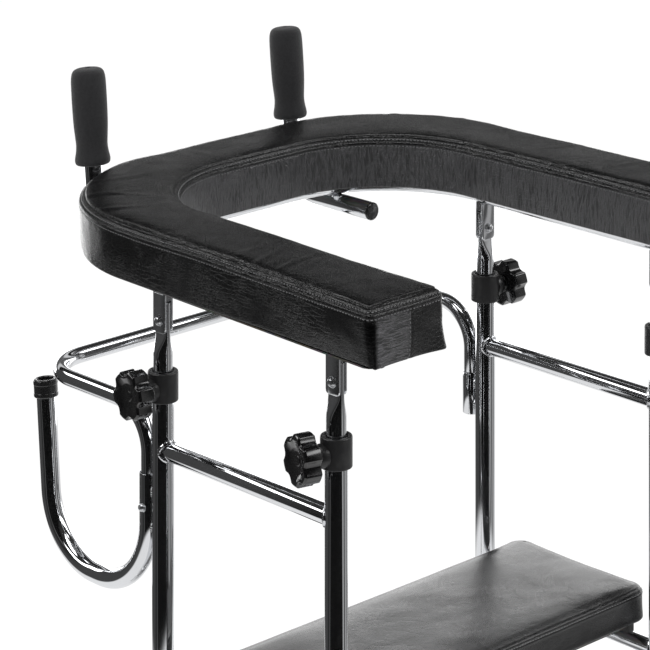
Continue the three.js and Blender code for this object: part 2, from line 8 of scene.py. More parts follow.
import bmesh
import bpy
import numpy as np
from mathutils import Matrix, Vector


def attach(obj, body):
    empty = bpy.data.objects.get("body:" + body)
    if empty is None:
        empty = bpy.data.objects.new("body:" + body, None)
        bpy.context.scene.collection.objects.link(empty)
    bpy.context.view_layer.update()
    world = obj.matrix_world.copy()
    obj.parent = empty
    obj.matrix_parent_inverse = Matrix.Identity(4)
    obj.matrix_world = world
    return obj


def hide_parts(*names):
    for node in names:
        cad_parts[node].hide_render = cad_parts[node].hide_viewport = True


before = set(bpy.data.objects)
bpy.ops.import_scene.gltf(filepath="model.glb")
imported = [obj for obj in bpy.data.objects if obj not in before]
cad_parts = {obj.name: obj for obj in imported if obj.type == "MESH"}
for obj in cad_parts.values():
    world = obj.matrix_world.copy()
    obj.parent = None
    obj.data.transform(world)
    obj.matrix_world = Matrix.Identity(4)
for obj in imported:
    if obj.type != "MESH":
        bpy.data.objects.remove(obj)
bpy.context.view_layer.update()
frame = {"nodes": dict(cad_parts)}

MM = 0.001
MID_Y = 30.4756          # the frame is modelled about the middle of its legs and moved back by this, as in the CAD
RNG = np.random.RandomState(11)

# ---- driving dimensions, the same as the CAD ------------------------------------------------------------------------
LEG_X, LEG_Y, LEG_R, LEG_BORE, LEG_TOP = 262.0, 144.0, 12.5, 11.35, 811.0
LIFT_R, LIFT_BORE, LIFT_LOW, FLAT_A, FLAT_B, LIFT_TOP = 11.0, 9.7, 470.0, 835.0, 861.0, 896.0
FLAT_W, FLAT_T = 10.4, 3.3
SIDE_R, SIDE_BORE, UPPER_R, UPPER_BORE, SIDE_Z, SEAT_TUBE_Z, CROSS_Z = 9.5, 8.2, 10.7, 9.4, 728.3, 432.0, 405.0
BASE_Z, BASE_CROSS_Y, CASTER_Y = 135.0, 205.0, 275.0
COLLAR_LOW, COLLAR_HIGH, COLLAR_R, KNOB_Z, KNOB_R = 784.0, 817.5, 17.5, 798.0, 28.0
PIVOT_Z, RING_Z, RING_R, RING_FRONT, RING_REAR, RING_BEND = 875.0, 915.0, 10.0, 318.0, -215.0, 165.0
BAR_Z, BAR_X, BAR_R, BAR_BORE, BAR_INNER, BAR_BEND = 894.0, 162.0, 11.0, 9.7, 246.0, 45.0
STEM_Y, STEM_Z, STEM_LEAN = 397.0, 982.0, 0.0928
PAD_LOW, PAD_TOP, PAD_REAR, PAD_FRONT = 927.4, 992.0, -262.0, 368.0
RAIL_Z, RAIL_FRONT = 767.5, 372.0
HOLDER_Y, HOLDER_R, HOLDER_BORE, HOLDER_LOW, SOCKET_Y = 168.2, 11.4, 9.95, 552.8, 167.9
SEAT_LOW, SEAT_HIGH, SEAT_X, SEAT_REAR, SEAT_FRONT = 462.3, 500.0, 272.0, -124.0, 93.0
HINGE_Y, HINGE_Z, WHEEL_R, TRAIL = 80.0, 450.5, 50.0, 35.0


def A(*p):
    return np.array(p, float)


def unit(v):
    v = np.asarray(v, float)
    return v / np.linalg.norm(v)


def turn(axis, angle):
    x, y, z = unit(axis)
    c, s = math.cos(angle), math.sin(angle)
    k = np.array([[0, -z, y], [z, 0, -x], [-y, x, 0]])
    return np.eye(3) + s * k + (1 - c) * (k @ k)


# ---- materials ------------------------------------------------------------------------------------------------------
class Nodes:
    """A short way to write a node tree."""

    def __init__(self, name):
        self.mat = bpy.data.materials.new(name)
        self.mat.use_nodes = True
        self.t = self.mat.node_tree
        self.t.nodes.clear()
        self.out = self.t.nodes.new("ShaderNodeOutputMaterial")
        self.bsdf = self.t.nodes.new("ShaderNodeBsdfPrincipled")
        self.link(self.bsdf.outputs[0], self.out.inputs[0])
        self.coord = self.t.nodes.new("ShaderNodeTexCoord").outputs["Object"]

    def link(self, a, b):
        self.t.links.new(a, b)

    def put(self, socket, value):
        if isinstance(value, bpy.types.NodeSocket):
            self.link(value, socket)
        else:
            socket.default_value = value

    def scaled(self, scale, rotation=(0, 0, 0)):
        m = self.t.nodes.new("ShaderNodeMapping")
        self.link(self.coord, m.inputs["Vector"])
        m.inputs["Scale"].default_value = scale if isinstance(scale, tuple) else (scale,) * 3
        m.inputs["Rotation"].default_value = rotation
        return m.outputs[0]

    def noise(self, scale, detail=4.0, rough=0.55, vector=None, distortion=0.0):
        n = self.t.nodes.new("ShaderNodeTexNoise")
        self.link(vector if vector is not None else self.coord, n.inputs["Vector"])
        n.inputs["Scale"].default_value = scale
        n.inputs["Detail"].default_value = detail
        n.inputs["Roughness"].default_value = rough
        n.inputs["Distortion"].default_value = distortion
        return n.outputs["Fac"]

    def voronoi(self, scale, feature="F1", out="Distance", vector=None, randomness=1.0):
        n = self.t.nodes.new("ShaderNodeTexVoronoi")
        n.feature = feature
        self.link(vector if vector is not None else self.coord, n.inputs["Vector"])
        n.inputs["Scale"].default_value = scale
        if "Randomness" in n.inputs:
            n.inputs["Randomness"].default_value = randomness
        return n.outputs[out]

    def wave(self, scale, distortion=2.0, detail=2.0, direction="X", vector=None):
        n = self.t.nodes.new("ShaderNodeTexWave")
        n.bands_direction = direction
        self.link(vector if vector is not None else self.coord, n.inputs["Vector"])
        n.inputs["Scale"].default_value = scale
        n.inputs["Distortion"].default_value = distortion
        n.inputs["Detail"].default_value = detail
        n.inputs["Detail Scale"].default_value = 1.5
        return n.outputs["Fac"]

    def math(self, op, a, b=0.0, c=0.0, clamp=False):
        n = self.t.nodes.new("ShaderNodeMath")
        n.operation = op
        n.use_clamp = clamp
        for i, v in enumerate((a, b, c)):
            self.put(n.inputs[i], v)
        return n.outputs[0]

    def ramp(self, fac, *stops):
        n = self.t.nodes.new("ShaderNodeValToRGB")
        self.link(fac, n.inputs[0])
        e = n.color_ramp.elements
        while len(e) > 1:
            e.remove(e[-1])
        for i, (p, col) in enumerate(stops):
            el = e[0] if i == 0 else e.new(p)
            el.position = p
            el.color = (*col, 1.0) if isinstance(col, tuple) else (col, col, col, 1.0)
        return n.outputs[0]

    def range(self, fac, lo, hi, to_lo, to_hi):
        n = self.t.nodes.new("ShaderNodeMapRange")
        self.link(fac, n.inputs[0])
        for i, v in enumerate((lo, hi, to_lo, to_hi)):
            n.inputs[i + 1].default_value = v
        return n.outputs[0]

    def mix(self, fac, a, b):
        n = self.t.nodes.new("ShaderNodeMix")
        n.data_type = "RGBA"
        self.put(n.inputs[0], fac)
        for socket, v in ((n.inputs[6], a), (n.inputs[7], b)):
            self.put(socket, v if isinstance(v, bpy.types.NodeSocket) else (*v, 1.0))
        return n.outputs[2]

    def bump(self, height, distance, strength=1.0, normal=None):
        n = self.t.nodes.new("ShaderNodeBump")
        n.inputs["Strength"].default_value = strength
        n.inputs["Distance"].default_value = distance
        self.link(height, n.inputs["Height"])
        if normal is not None:
            self.link(normal, n.inputs["Normal"])
        return n.outputs[0]

    def set(self, **kw):
        names = {"color": "Base Color", "rough": "Roughness", "metal": "Metallic", "normal": "Normal", "spec": "Specular IOR Level",
                 "coat": "Coat Weight", "coat_rough": "Coat Roughness", "sheen": "Sheen Weight", "sheen_rough": "Sheen Roughness", "ior": "IOR"}
        for k, v in kw.items():
            s = self.bsdf.inputs[names[k]]
            if k == "color" and not isinstance(v, bpy.types.NodeSocket):
                v = (*v, 1.0)
            self.put(s, v)
        return self.mat


def chrome(name, tint=(0.80, 0.81, 0.83), rough=0.055, smudge=0.07):
    m = Nodes(name)
    cloud = m.noise(9.0, 4.0, 0.6)
    scuff = m.ramp(m.noise(55.0, 6.0, 0.7, m.scaled((1.0, 1.0, 0.25))), (0.55, 0.0), (0.78, 1.0))
    r = m.math("ADD", m.range(cloud, 0.3, 0.75, rough, rough + smudge * 0.6), m.math("MULTIPLY", scuff, smudge * 0.5))
    wobble = m.noise(16.0, 2.0, 0.4)
    fine = m.noise(700.0, 2.0, 0.6)
    n = m.bump(fine, 0.00001, 0.35, m.bump(wobble, 0.0006, 0.30))
    col = m.mix(m.range(cloud, 0.35, 0.7, 0.0, 1.0), tint, tuple(c * 0.93 for c in tint))
    return m.set(color=col, rough=r, metal=1.0, normal=n)


def zinc(name):
    m = Nodes(name)
    spangle = m.voronoi(160.0, out="Distance")
    brushed = m.noise(420.0, 5.0, 0.7, m.scaled((1.0, 1.0, 0.18)))
    col = m.mix(m.range(m.noise(30.0, 4.0), 0.3, 0.7, 0.0, 1.0), (0.62, 0.63, 0.64), (0.47, 0.48, 0.50))
    r = m.math("ADD", m.range(brushed, 0.3, 0.8, 0.20, 0.36), m.math("MULTIPLY", spangle, 0.10))
    return m.set(color=col, rough=r, metal=1.0, normal=m.bump(brushed, 0.00005, 0.5))


def leather(name, base=0.0042, rough=0.21, crease=1.0, grain_depth=1.0, local=False):
    """Black leatherette: pebbled grain, a net of fine stretch creases in patches, and slow changes of sheen."""
    m = Nodes(name)
    warp = m.noise(60.0, 3.0)
    grain = m.voronoi(470.0, "DISTANCE_TO_EDGE", "Distance")
    pebble = m.ramp(grain, (0.0, 0.0), (0.16, 0.7), (0.45, 1.0))
    small = m.voronoi(1500.0, "F1", "Distance")
    pores = m.noise(2600.0, 2.0, 0.6)
    fold_a = m.ramp(m.wave(34.0, 9.0, 4.0, "DIAGONAL"), (0.0, 0.0), (0.14, 1.0), (1.0, 1.0))
    fold_b = m.ramp(m.voronoi(120.0, "DISTANCE_TO_EDGE", "Distance", m.scaled((1.0, 0.55, 1.9))), (0.0, 0.0), (0.07, 1.0), (1.0, 1.0))
    fold_c = m.ramp(m.voronoi(300.0, "DISTANCE_TO_EDGE", "Distance", m.scaled((0.9, 0.5, 1.5))), (0.0, 0.0), (0.09, 1.0), (1.0, 1.0))
    patch = m.ramp(m.noise(11.0, 3.0, 0.6), (0.40, 0.0), (0.56, 1.0))
    patch2 = m.ramp(m.noise(17.0, 3.0, 0.6, m.scaled((1.0, 1.0, 1.0), (0.4, 0.2, 0.9))), (0.46, 0.0), (0.60, 1.0))
    folds = m.math("MULTIPLY", m.math("SUBTRACT", 1.0, fold_b), patch)
    folds2 = m.math("MULTIPLY", m.math("SUBTRACT", 1.0, fold_a), m.math("MULTIPLY", patch, 0.6))
    folds3 = m.math("MULTIPLY", m.math("SUBTRACT", 1.0, fold_c), m.math("MULTIPLY", patch2, 0.8))
    slow = m.noise(8.0, 3.0, 0.5)
    n = m.bump(pebble, 0.00011 * grain_depth, 0.9)
    n = m.bump(small, 0.00003, 0.5, n)
    n = m.bump(pores, 0.000012, 0.3, n)
    n = m.bump(m.math("MULTIPLY", m.math("ADD", m.math("ADD", folds, folds2), folds3), -1.0), 0.00020 * crease, 1.0, n)
    n = m.bump(warp, 0.0007, 0.35, n)
    dust = m.range(m.noise(24.0, 5.0, 0.65), 0.35, 0.8, 0.0, 1.0)
    col = m.mix(dust, (base, base, base * 1.08), (base * 1.6, base * 1.6, base * 1.7))
    col = m.mix(m.math("SUBTRACT", 1.0, pebble), col, (base * 0.5,) * 3)
    r = m.math("ADD", m.range(slow, 0.3, 0.7, rough - 0.05, rough + 0.06), m.math("MULTIPLY", m.math("SUBTRACT", 1.0, pebble), 0.12))
    spec = 0.5
    if local:
        # the outer half of each arm end is finely crumpled across, the inside of the U is crumpled upright
        sep = m.t.nodes.new("ShaderNodeSeparateXYZ")
        m.link(m.coord, sep.inputs[0])
        ax = m.math("ABSOLUTE", sep.outputs[0])
        end = m.math("MULTIPLY", m.range(sep.outputs[1], -0.2905, -0.2865, 1.0, 0.0), m.math("MULTIPLY", m.math("MULTIPLY", m.range(ax, 0.2665, 0.2685, 0.0, 1.0), m.range(ax, 0.312, 0.319, 1.0, 0.0)), m.range(sep.outputs[2], 0.976, 0.981, 1.0, 0.0)))
        inner = m.math("MULTIPLY", m.math("MULTIPLY", m.range(ax, 0.2175, 0.2190, 1.0, 0.0), m.range(sep.outputs[1], 0.2375, 0.2390, 1.0, 0.0)), m.range(sep.outputs[2], 0.978, 0.982, 1.0, 0.0))
        across = m.ramp(m.noise(400.0, 3.0, 0.55, m.scaled((0.11, 0.11, 1.0), (0.0, 0.10, 0.0)), 0.4), (0.42, 0.0), (0.50, 1.0), (0.57, 0.0))
        upright = m.ramp(m.noise(260.0, 3.0, 0.55, m.scaled((1.0, 1.0, 0.16), (0.05, 0.0, 0.0)), 0.5), (0.38, 0.0), (0.50, 1.0), (0.64, 0.0))
        n = m.bump(m.math("MULTIPLY", across, end), 0.0008, 1.0, n)
        n = m.bump(m.math("MULTIPLY", upright, inner), 0.0006, 1.0, n)
        stretch = m.range(ax, 0.267, 0.311, 0.45, 1.0)
        col = m.mix(m.math("MULTIPLY", end, stretch), col, m.mix(across, (0.010, 0.0098, 0.0115), (0.078, 0.076, 0.086)))
        col = m.mix(inner, col, m.mix(upright, (0.018, 0.018, 0.019), (0.050, 0.050, 0.053)))
        # the fabric turns in on itself at the outer rear corners, and stays dark there
        fold = m.math("MULTIPLY", m.math("MULTIPLY", m.range(ax, 0.3135, 0.3185, 0.0, 1.0), m.range(sep.outputs[1], -0.2865, -0.2800, 1.0, 0.0)), m.range(sep.outputs[2], 0.974, 0.980, 1.0, 0.0))
        col = m.mix(fold, col, (0.001, 0.001, 0.0011))
        r = m.math("ADD", r, m.math("MULTIPLY", m.math("MAXIMUM", end, inner), 0.12))
        spec = m.math("ADD", 0.5, m.math("ADD", m.math("MULTIPLY", end, 0.5), m.math("MULTIPLY", inner, 0.35)))
        spec = m.math("MULTIPLY", spec, m.math("SUBTRACT", 1.0, m.math("MULTIPLY", fold, 0.85)))
    return m.set(color=col, rough=r, normal=n, spec=spec)


def plastic(name, base=0.012, rough=0.32, grain=900.0, depth=0.00005, wear=0.03, gloss=False):
    m = Nodes(name)
    tex = m.noise(grain, 3.0, 0.6)
    worn = m.ramp(m.noise(70.0, 6.0, 0.7), (0.52, 0.0), (0.75, 1.0))
    col = m.mix(worn, (base, base, base * 1.05), (base + wear * 0.35,) * 3)
    r = m.math("ADD", m.range(m.noise(25.0, 4.0), 0.3, 0.7, rough - 0.05, rough + 0.06), m.math("MULTIPLY", worn, 0.10))
    n = m.bump(tex, depth, 0.5, m.bump(m.noise(45.0, 2.0), 0.0003, 0.25))
    m.set(color=col, rough=r, normal=n)
    if gloss:
        m.set(coat=0.5, coat_rough=0.08)
    return m.mat


def foam(name):
    m = Nodes(name)
    cells = m.voronoi(2100.0)
    clump = m.noise(340.0, 5.0, 0.7)
    col = m.mix(m.range(clump, 0.35, 0.7, 0.0, 1.0), (0.012, 0.012, 0.013), (0.026, 0.026, 0.028))
    n = m.bump(cells, 0.00025, 0.8, m.bump(clump, 0.0005, 0.5))
    return m.set(color=col, rough=m.range(clump, 0.3, 0.7, 0.72, 0.92), normal=n, sheen=0.15, spec=0.3)


def wood_board(name):
    m = Nodes(name)
    flakes = m.voronoi(150.0, out="Color", vector=m.scaled((1.0, 0.35, 1.0)))
    fib = m.noise(220.0, 6.0, 0.7, m.scaled((0.2, 1.0, 1.0)))
    col = m.mix(fib, (0.030, 0.026, 0.022), (0.060, 0.050, 0.040))
    col = m.mix(0.12, col, flakes)
    col = m.mix(0.75, col, (0.022, 0.021, 0.020))
    return m.set(color=col, rough=m.range(fib, 0.3, 0.7, 0.62, 0.85), normal=m.bump(fib, 0.0003, 0.6))


def rubber(name, base=0.018):
    m = Nodes(name)
    dust = m.ramp(m.noise(55.0, 6.0, 0.7), (0.45, 0.0), (0.75, 1.0))
    col = m.mix(dust, (base, base, base * 1.05), (base * 2.4, base * 2.3, base * 2.2))
    n = m.bump(m.noise(1300.0, 3.0), 0.00008, 0.6, m.bump(m.noise(90.0, 3.0), 0.0002, 0.4))
    return m.set(color=col, rough=m.range(m.noise(40.0, 4.0), 0.3, 0.7, 0.55, 0.75), normal=n)


def thread(name):
    m = Nodes(name)
    twist = m.wave(900.0, 1.0, 1.0, "DIAGONAL")
    col = m.mix(twist, (0.07, 0.07, 0.073), (0.22, 0.22, 0.225))
    return m.set(color=col, rough=m.range(twist, 0.0, 1.0, 0.30, 0.5), normal=m.bump(twist, 0.0001, 0.7), sheen=0.2)


MAT = {
    "tube": chrome("chrome_tube_finish"),
    "weld": chrome("chrome_weld_finish", (0.72, 0.73, 0.75), 0.12, 0.12),
    "bracket": chrome("chrome_bracket_finish", (0.76, 0.77, 0.79), 0.09, 0.10),
    "zinc": zinc("zinc_plated_steel"),
    "pad": leather("black_leatherette_pad", local=True),
    "seat": leather("black_leatherette_seat", 0.0075, 0.25, 0.35, 0.35),
    "thread": thread("upholstery_thread"),
    "collar": plastic("collar_moulding", 0.013, 0.38, 1400.0, 0.00007, 0.03),
    "knob": plastic("knob_moulding", 0.004, 0.16, 800.0, 0.00003, 0.008, True),
    "cap": plastic("cap_moulding", 0.009, 0.26, 900.0, 0.00004, 0.02, True),
    "foam": foam("foam_grip_rubber"),
    "board": wood_board("backing_board_stained"),
    "rubber": rubber("stop_rubber"),
    "tread": rubber("tread_rubber", 0.022),
    "hub": plastic("wheel_hub_moulding", 0.10, 0.42, 1100.0, 0.00007, 0.05),
}


# ---- mesh building --------------------------------------------------------------------------------------------------
class Shell:
    def __init__(self):
        self.v, self.f, self.m, self.n = [], [], [], 0

    def add(self, verts, faces, mat=0):
        off = self.n
        verts = np.asarray(verts, float).reshape(-1, 3)
        self.v.append(verts)
        self.n += len(verts)
        self.f += [tuple(i + off for i in f) for f in faces]
        self.m += [mat] * len(faces)
        return self

    def loft(self, rings, mat=0, closed=False, cap0=False, cap1=False):
        """Joins rings of equally many points; a ring of one point is a pole."""
        verts, faces, start = [], [], []
        for r in rings:
            r = np.asarray(r, float).reshape(-1, 3)
            start.append((sum(len(x) for x in verts), len(r)))
            verts.append(r)
        pairs = list(range(len(rings) - 1)) + ([len(rings) - 1] if closed else [])
        for k in pairs:
            (a, na), (b, nb) = start[k], start[(k + 1) % len(rings)]
            n = max(na, nb)
            for i in range(n):
                j = (i + 1) % n
                if na == 1 and nb == 1:
                    continue
                if na == 1:
                    faces.append((a, b + j, b + i))
                elif nb == 1:
                    faces.append((a + i, a + j, b))
                else:
                    faces.append((a + i, a + j, b + j, b + i))
        if cap0:
            a, na = start[0]
            faces.append(tuple(a + i for i in reversed(range(na))))
        if cap1:
            b, nb = start[-1]
            faces.append(tuple(b + i for i in range(nb)))
        return self.add(np.vstack(verts), faces, mat)

    def moved(self, matrix=None, offset=(0, 0, 0)):
        out = Shell()
        v = np.vstack(self.v)
        if matrix is not None:
            v = v @ np.asarray(matrix, float).T
        out.v, out.f, out.m, out.n = [v + np.asarray(offset, float)], list(self.f), list(self.m), self.n
        return out

    def take(self, other):
        off = self.n
        self.v += other.v
        self.n += other.n
        self.f += [tuple(i + off for i in f) for f in other.f]
        self.m += other.m
        return self


def to_object(name, shell, mats, sharp=38.0, fix_normals=True):
    me = bpy.data.meshes.new(name)
    v = (np.vstack(shell.v) - A(0, MID_Y, 0)) * MM
    me.from_pydata(v.tolist(), [], shell.f)
    me.update()
    for m in mats:
        me.materials.append(MAT[m])
    me.polygons.foreach_set("material_index", np.array(shell.m, np.int32))
    bm = bmesh.new()
    bm.from_mesh(me)
    bmesh.ops.remove_doubles(bm, verts=bm.verts, dist=1e-7)
    if fix_normals:
        bmesh.ops.recalc_face_normals(bm, faces=bm.faces)
    lim = math.radians(sharp)
    for f in bm.faces:
        f.smooth = True
    for e in bm.edges:
        e.smooth = not (len(e.link_faces) == 2 and e.calc_face_angle(0.0) > lim)
    bm.to_mesh(me)
    bm.free()
    ob = bpy.data.objects.new(name, me)
    bpy.context.scene.collection.objects.link(ob)
    return ob


def piece(name, shell, mats, body, nodes=(), sharp=38.0, fix_normals=True):
    ob = to_object(name, shell, mats, sharp, fix_normals)
    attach(ob, body)
    if nodes:
        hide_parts(*nodes)
    return ob


def route(points, radii=(), step=2.5, every=None):
    """Stations and directions along straight runs with round bends."""
    pts = [np.array(p, float) for p in points]
    P, T = [pts[0]], [unit(pts[1] - pts[0])]
    for i in range(1, len(pts) - 1):
        d0, d1 = unit(pts[i] - pts[i - 1]), unit(pts[i + 1] - pts[i])
        ang = math.acos(max(-1.0, min(1.0, float(d0 @ d1))))
        r = radii[i - 1]
        axis = unit(np.cross(d0, d1))
        s = pts[i] - d0 * r * math.tan(ang / 2)
        c = s + np.cross(axis, d0) * r
        n = max(2, math.ceil(math.degrees(ang) / step))
        for k in range(n + 1):
            R = turn(axis, ang * k / n)
            P.append(c + R @ (s - c))
            T.append(R @ d0)
    P.append(pts[-1])
    T.append(unit(pts[-1] - pts[-2]))
    if every:
        P2, T2 = [P[0]], [T[0]]
        for a, b, ta, tb in zip(P[:-1], P[1:], T[:-1], T[1:]):
            d = np.linalg.norm(b - a)
            k = int(d // every)
            for q in range(1, k + 1):
                if q / (k + 1) < 1:
                    P2.append(a + (b - a) * q / (k + 1))
                    T2.append(unit(ta + (tb - ta) * q / (k + 1)))
            P2.append(b)
            T2.append(tb)
        P, T = P2, T2
    return np.array(P), np.array(T)


def frames(P, T):
    a = A(0, 0, 1) if abs(T[0][2]) < 0.9 else A(1, 0, 0)
    U = [unit(a - T[0] * (a @ T[0]))]
    for i in range(1, len(P)):
        v = np.cross(T[i - 1], T[i])
        s = np.linalg.norm(v)
        u = U[-1] if s < 1e-9 else turn(v / s, math.atan2(s, T[i - 1] @ T[i])) @ U[-1]
        U.append(unit(u - T[i] * (u @ T[i])))
    U = np.array(U)
    return U, np.cross(T, U)


def circle(c, u, w, r, n, phase=0.0):
    a = np.arange(n) * 2 * math.pi / n + phase
    return c + np.outer(np.cos(a) * r, u) + np.outer(np.sin(a) * r, w)


def tube(points, radii, r, bore=None, n=48, step=2.5, lip=0.35, ends=(True, True)):
    """A pipe with turned-in lips, or a solid bar when bore is None."""
    P, T = route(points, radii, step)
    U, W = frames(P, T)
    s = Shell()
    ring = lambda i, rad, along=0.0: circle(P[i] + T[i] * along, U[i], W[i], rad, n)
    outer = [ring(0, r - lip), ring(0, r - lip * 0.3, lip * 0.3), ring(0, r, lip)]
    outer += [ring(i, r) for i in range(1, len(P) - 1)]
    outer += [ring(-1, r, -lip), ring(-1, r - lip * 0.3, -lip * 0.3), ring(-1, r - lip)]
    if bore is None:
        return s.loft([P[0].reshape(1, 3)] + outer + [P[-1].reshape(1, 3)])
    inner = [ring(-1, bore + 0.1), ring(-1, bore, -0.3)] + [ring(i, bore) for i in range(len(P) - 2, 0, -1)] + [ring(0, bore, 0.3), ring(0, bore + 0.1)]
    return s.loft(outer + inner, closed=True)


def soften(profile, r=0.6, n=3):
    """Rounds the inside corners of an open profile of (radius, height)."""
    p = [A(*q) for q in profile]
    out = [p[0]]
    for a, b, c in zip(p[:-2], p[1:-1], p[2:]):
        la, lc = np.linalg.norm(a - b), np.linalg.norm(c - b)
        if la < 1e-6 or lc < 1e-6:
            continue
        k = min(r, la * 0.45, lc * 0.45)
        if abs(np.cross((a - b) / la, (c - b) / lc)) < 0.08:
            out.append(b)
            continue
        s, e = b + (a - b) / la * k, b + (c - b) / lc * k
        for i in range(n + 1):
            t = i / n
            out.append((1 - t) ** 2 * s + 2 * t * (1 - t) * b + t * t * e)
    out.append(p[-1])
    return [(q[0], q[1]) for q in out]


def lathe(profile, base, direction, n=64, closed=False, mat=0, shape=None, phase=0.0):
    """Turned piece. shape(angle, radius, height) may return a changed radius."""
    d = unit(direction)
    a = A(0, 0, 1) if abs(d[2]) < 0.9 else A(1, 0, 0)
    u = unit(a - d * (a @ d))
    w = np.cross(d, u)
    th = np.arange(n) * 2 * math.pi / n + phase
    rings = []
    base = np.asarray(base, float)
    for r, h in profile:
        if r < 1e-6:
            rings.append((base + d * h).reshape(1, 3))
            continue
        rr = np.array([shape(t, r, h) for t in th]) if shape else np.full(n, r)
        rings.append(base + d * h + np.outer(np.cos(th) * rr, u) + np.outer(np.sin(th) * rr, w))
    return Shell().loft(rings, mat=mat, closed=closed)


def bead_along(C, N1, b, closed=True, ripples=0, seg=10, depth=0.14):
    """A weld bead: a round swept along the closed curve C, bulging towards N1, with the ripple of a hand-laid weld."""
    n = len(C)
    t = np.roll(C, -1, 0) - np.roll(C, 1, 0)
    if not closed:
        t[0], t[-1] = C[1] - C[0], C[-1] - C[-2]
    t /= np.linalg.norm(t, axis=1)[:, None]
    e1 = N1 - t * np.sum(N1 * t, 1)[:, None]
    e1 /= np.linalg.norm(e1, axis=1)[:, None]
    e2 = np.cross(t, e1)
    rings = []
    for i in range(n):
        f = (i / n * ripples) % 1.0
        rad = b * (1 + depth * (math.sqrt(max(0.0, 1 - (2 * f - 1) ** 2)) - 0.6)) if ripples else b
        if not closed:
            q = min(i, n - 1 - i) / max(1, n - 1)
            rad *= min(1.0, 0.35 + 6.0 * q)
        a = np.arange(seg) * 2 * math.pi / seg
        rings.append(C[i] + np.outer(np.cos(a) * rad, e1[i]) + np.outer(np.sin(a) * rad, e2[i]))
    s = Shell()
    if closed:
        return s.loft(rings, closed=True)
    return s.loft([C[0].reshape(1, 3)] + rings + [C[-1].reshape(1, 3)])


def saddle(c, host, ra, d, rb, b=2.2, n=108, ripples=22):
    """Weld where a tube of radius rb leaves a host tube (axis host, radius ra) at c along d."""
    c, a, d = np.asarray(c, float), unit(host), unit(d)
    w = np.cross(a, d)
    f = np.arange(n) * 2 * math.pi / n
    side = np.outer(np.cos(f), a) + np.outer(np.sin(f), w)
    h = np.sqrt(np.maximum(ra * ra - (rb * np.sin(f)) ** 2, 0.0))
    C = c + side * rb + np.outer(h, d)
    rel = C - c
    na = rel - np.outer(rel @ a, a)
    na /= np.linalg.norm(na, axis=1)[:, None]
    N = na + side
    N /= np.linalg.norm(N, axis=1)[:, None]
    wob = 1 + 0.10 * np.sin(f * 3 + c[2] * 0.37) + 0.06 * np.sin(f * 7 + c[1])
    C = C + N * (b * 0.10) * wob[:, None]
    return bead_along(C, N, b, True, ripples)


def capsule_weld(p0, p1, n1, b=2.4, ripples=5, n=30):
    t = np.linspace(0, 1, n)[:, None]
    C = np.asarray(p0, float) * (1 - t) + np.asarray(p1, float) * t
    return bead_along(C, np.tile(np.asarray(n1, float), (n, 1)), b, False, ripples, 12)


def plate(points, thick, origin, ex, ey, bevel=0.5, segments=2, mat=0, holes=()):
    """A flat plate with softened edges: outline in (ex, ey), thickness along ex x ey."""
    ex, ey = unit(ex), unit(ey)
    ez = np.cross(ex, ey)
    o = np.asarray(origin, float)
    bm = bmesh.new()
    vs = [bm.verts.new(o + ex * p[0] + ey * p[1]) for p in points]
    f = bm.faces.new(vs)
    r = bmesh.ops.extrude_face_region(bm, geom=[f])
    nv = [g for g in r["geom"] if isinstance(g, bmesh.types.BMVert)]
    bmesh.ops.translate(bm, verts=nv, vec=Vector(ez * thick))
    bmesh.ops.recalc_face_normals(bm, faces=bm.faces)
    if bevel > 0:
        edges = [e for e in bm.edges if len(e.link_faces) == 2 and e.calc_face_angle(0.0) > math.radians(30)]
        bmesh.ops.bevel(bm, geom=edges, offset=bevel, segments=segments, profile=0.5, affect="EDGES", clamp_overlap=True)
    bm.verts.ensure_lookup_table()
    bm.verts.index_update()
    s = Shell().add([list(v.co) for v in bm.verts], [tuple(v.index for v in f.verts) for f in bm.faces], mat)
    bm.free()
    return s


def arc(cx, cy, r, a0, a1, n):
    a = np.radians(np.linspace(a0, a1, n + 1))
    return np.stack([cx + r * np.cos(a), cy + r * np.sin(a)], 1)


def round_rect(x0, x1, y0, y1, r, n=6):
    return np.vstack([arc(x1 - r, y1 - r, r, 0, 90, n), arc(x0 + r, y1 - r, r, 90, 180, n), arc(x0 + r, y0 + r, r, 180, 270, n), arc(x1 - r, y0 + r, r, 270, 360, n)])


# ---- corners ---------------------------------------------------------------------------------------------------------
rad = math.radians
CORNERS = [
    dict(id="front_left", x=-LEG_X, y=LEG_Y, knob=A(-math.cos(rad(5)), math.sin(rad(5)), 0), turn=-16, bolt=A(-1, 0, 0)),
    dict(id="rear_left", x=-LEG_X, y=-LEG_Y, knob=A(-math.cos(rad(15)), math.sin(rad(15)), 0), turn=-3, bolt=A(-1, 0, 0)),
    dict(id="front_right", x=LEG_X, y=LEG_Y, knob=A(1, 0, 0), turn=10, bolt=A(0, -1, 0)),
    dict(id="rear_right", x=LEG_X, y=-LEG_Y, knob=A(1, 0, 0), turn=10, bolt=A(1, 0, 0)),
]


def star_radius(t, r, turn):
    """Six blunt lobes with hollow scallops between them; the middle of the knob stays round."""
    k = min(1.0, max(0.0, (r - 17.0) / 8.0))
    q = abs((math.degrees(t) - turn + 30.0) % 60.0 - 30.0)
    x = min(1.0, max(0.0, (q - 12.5) / 17.5))
    return r * (1.0 - 0.175 * k * (1.0 - (1.0 - x) ** 2))


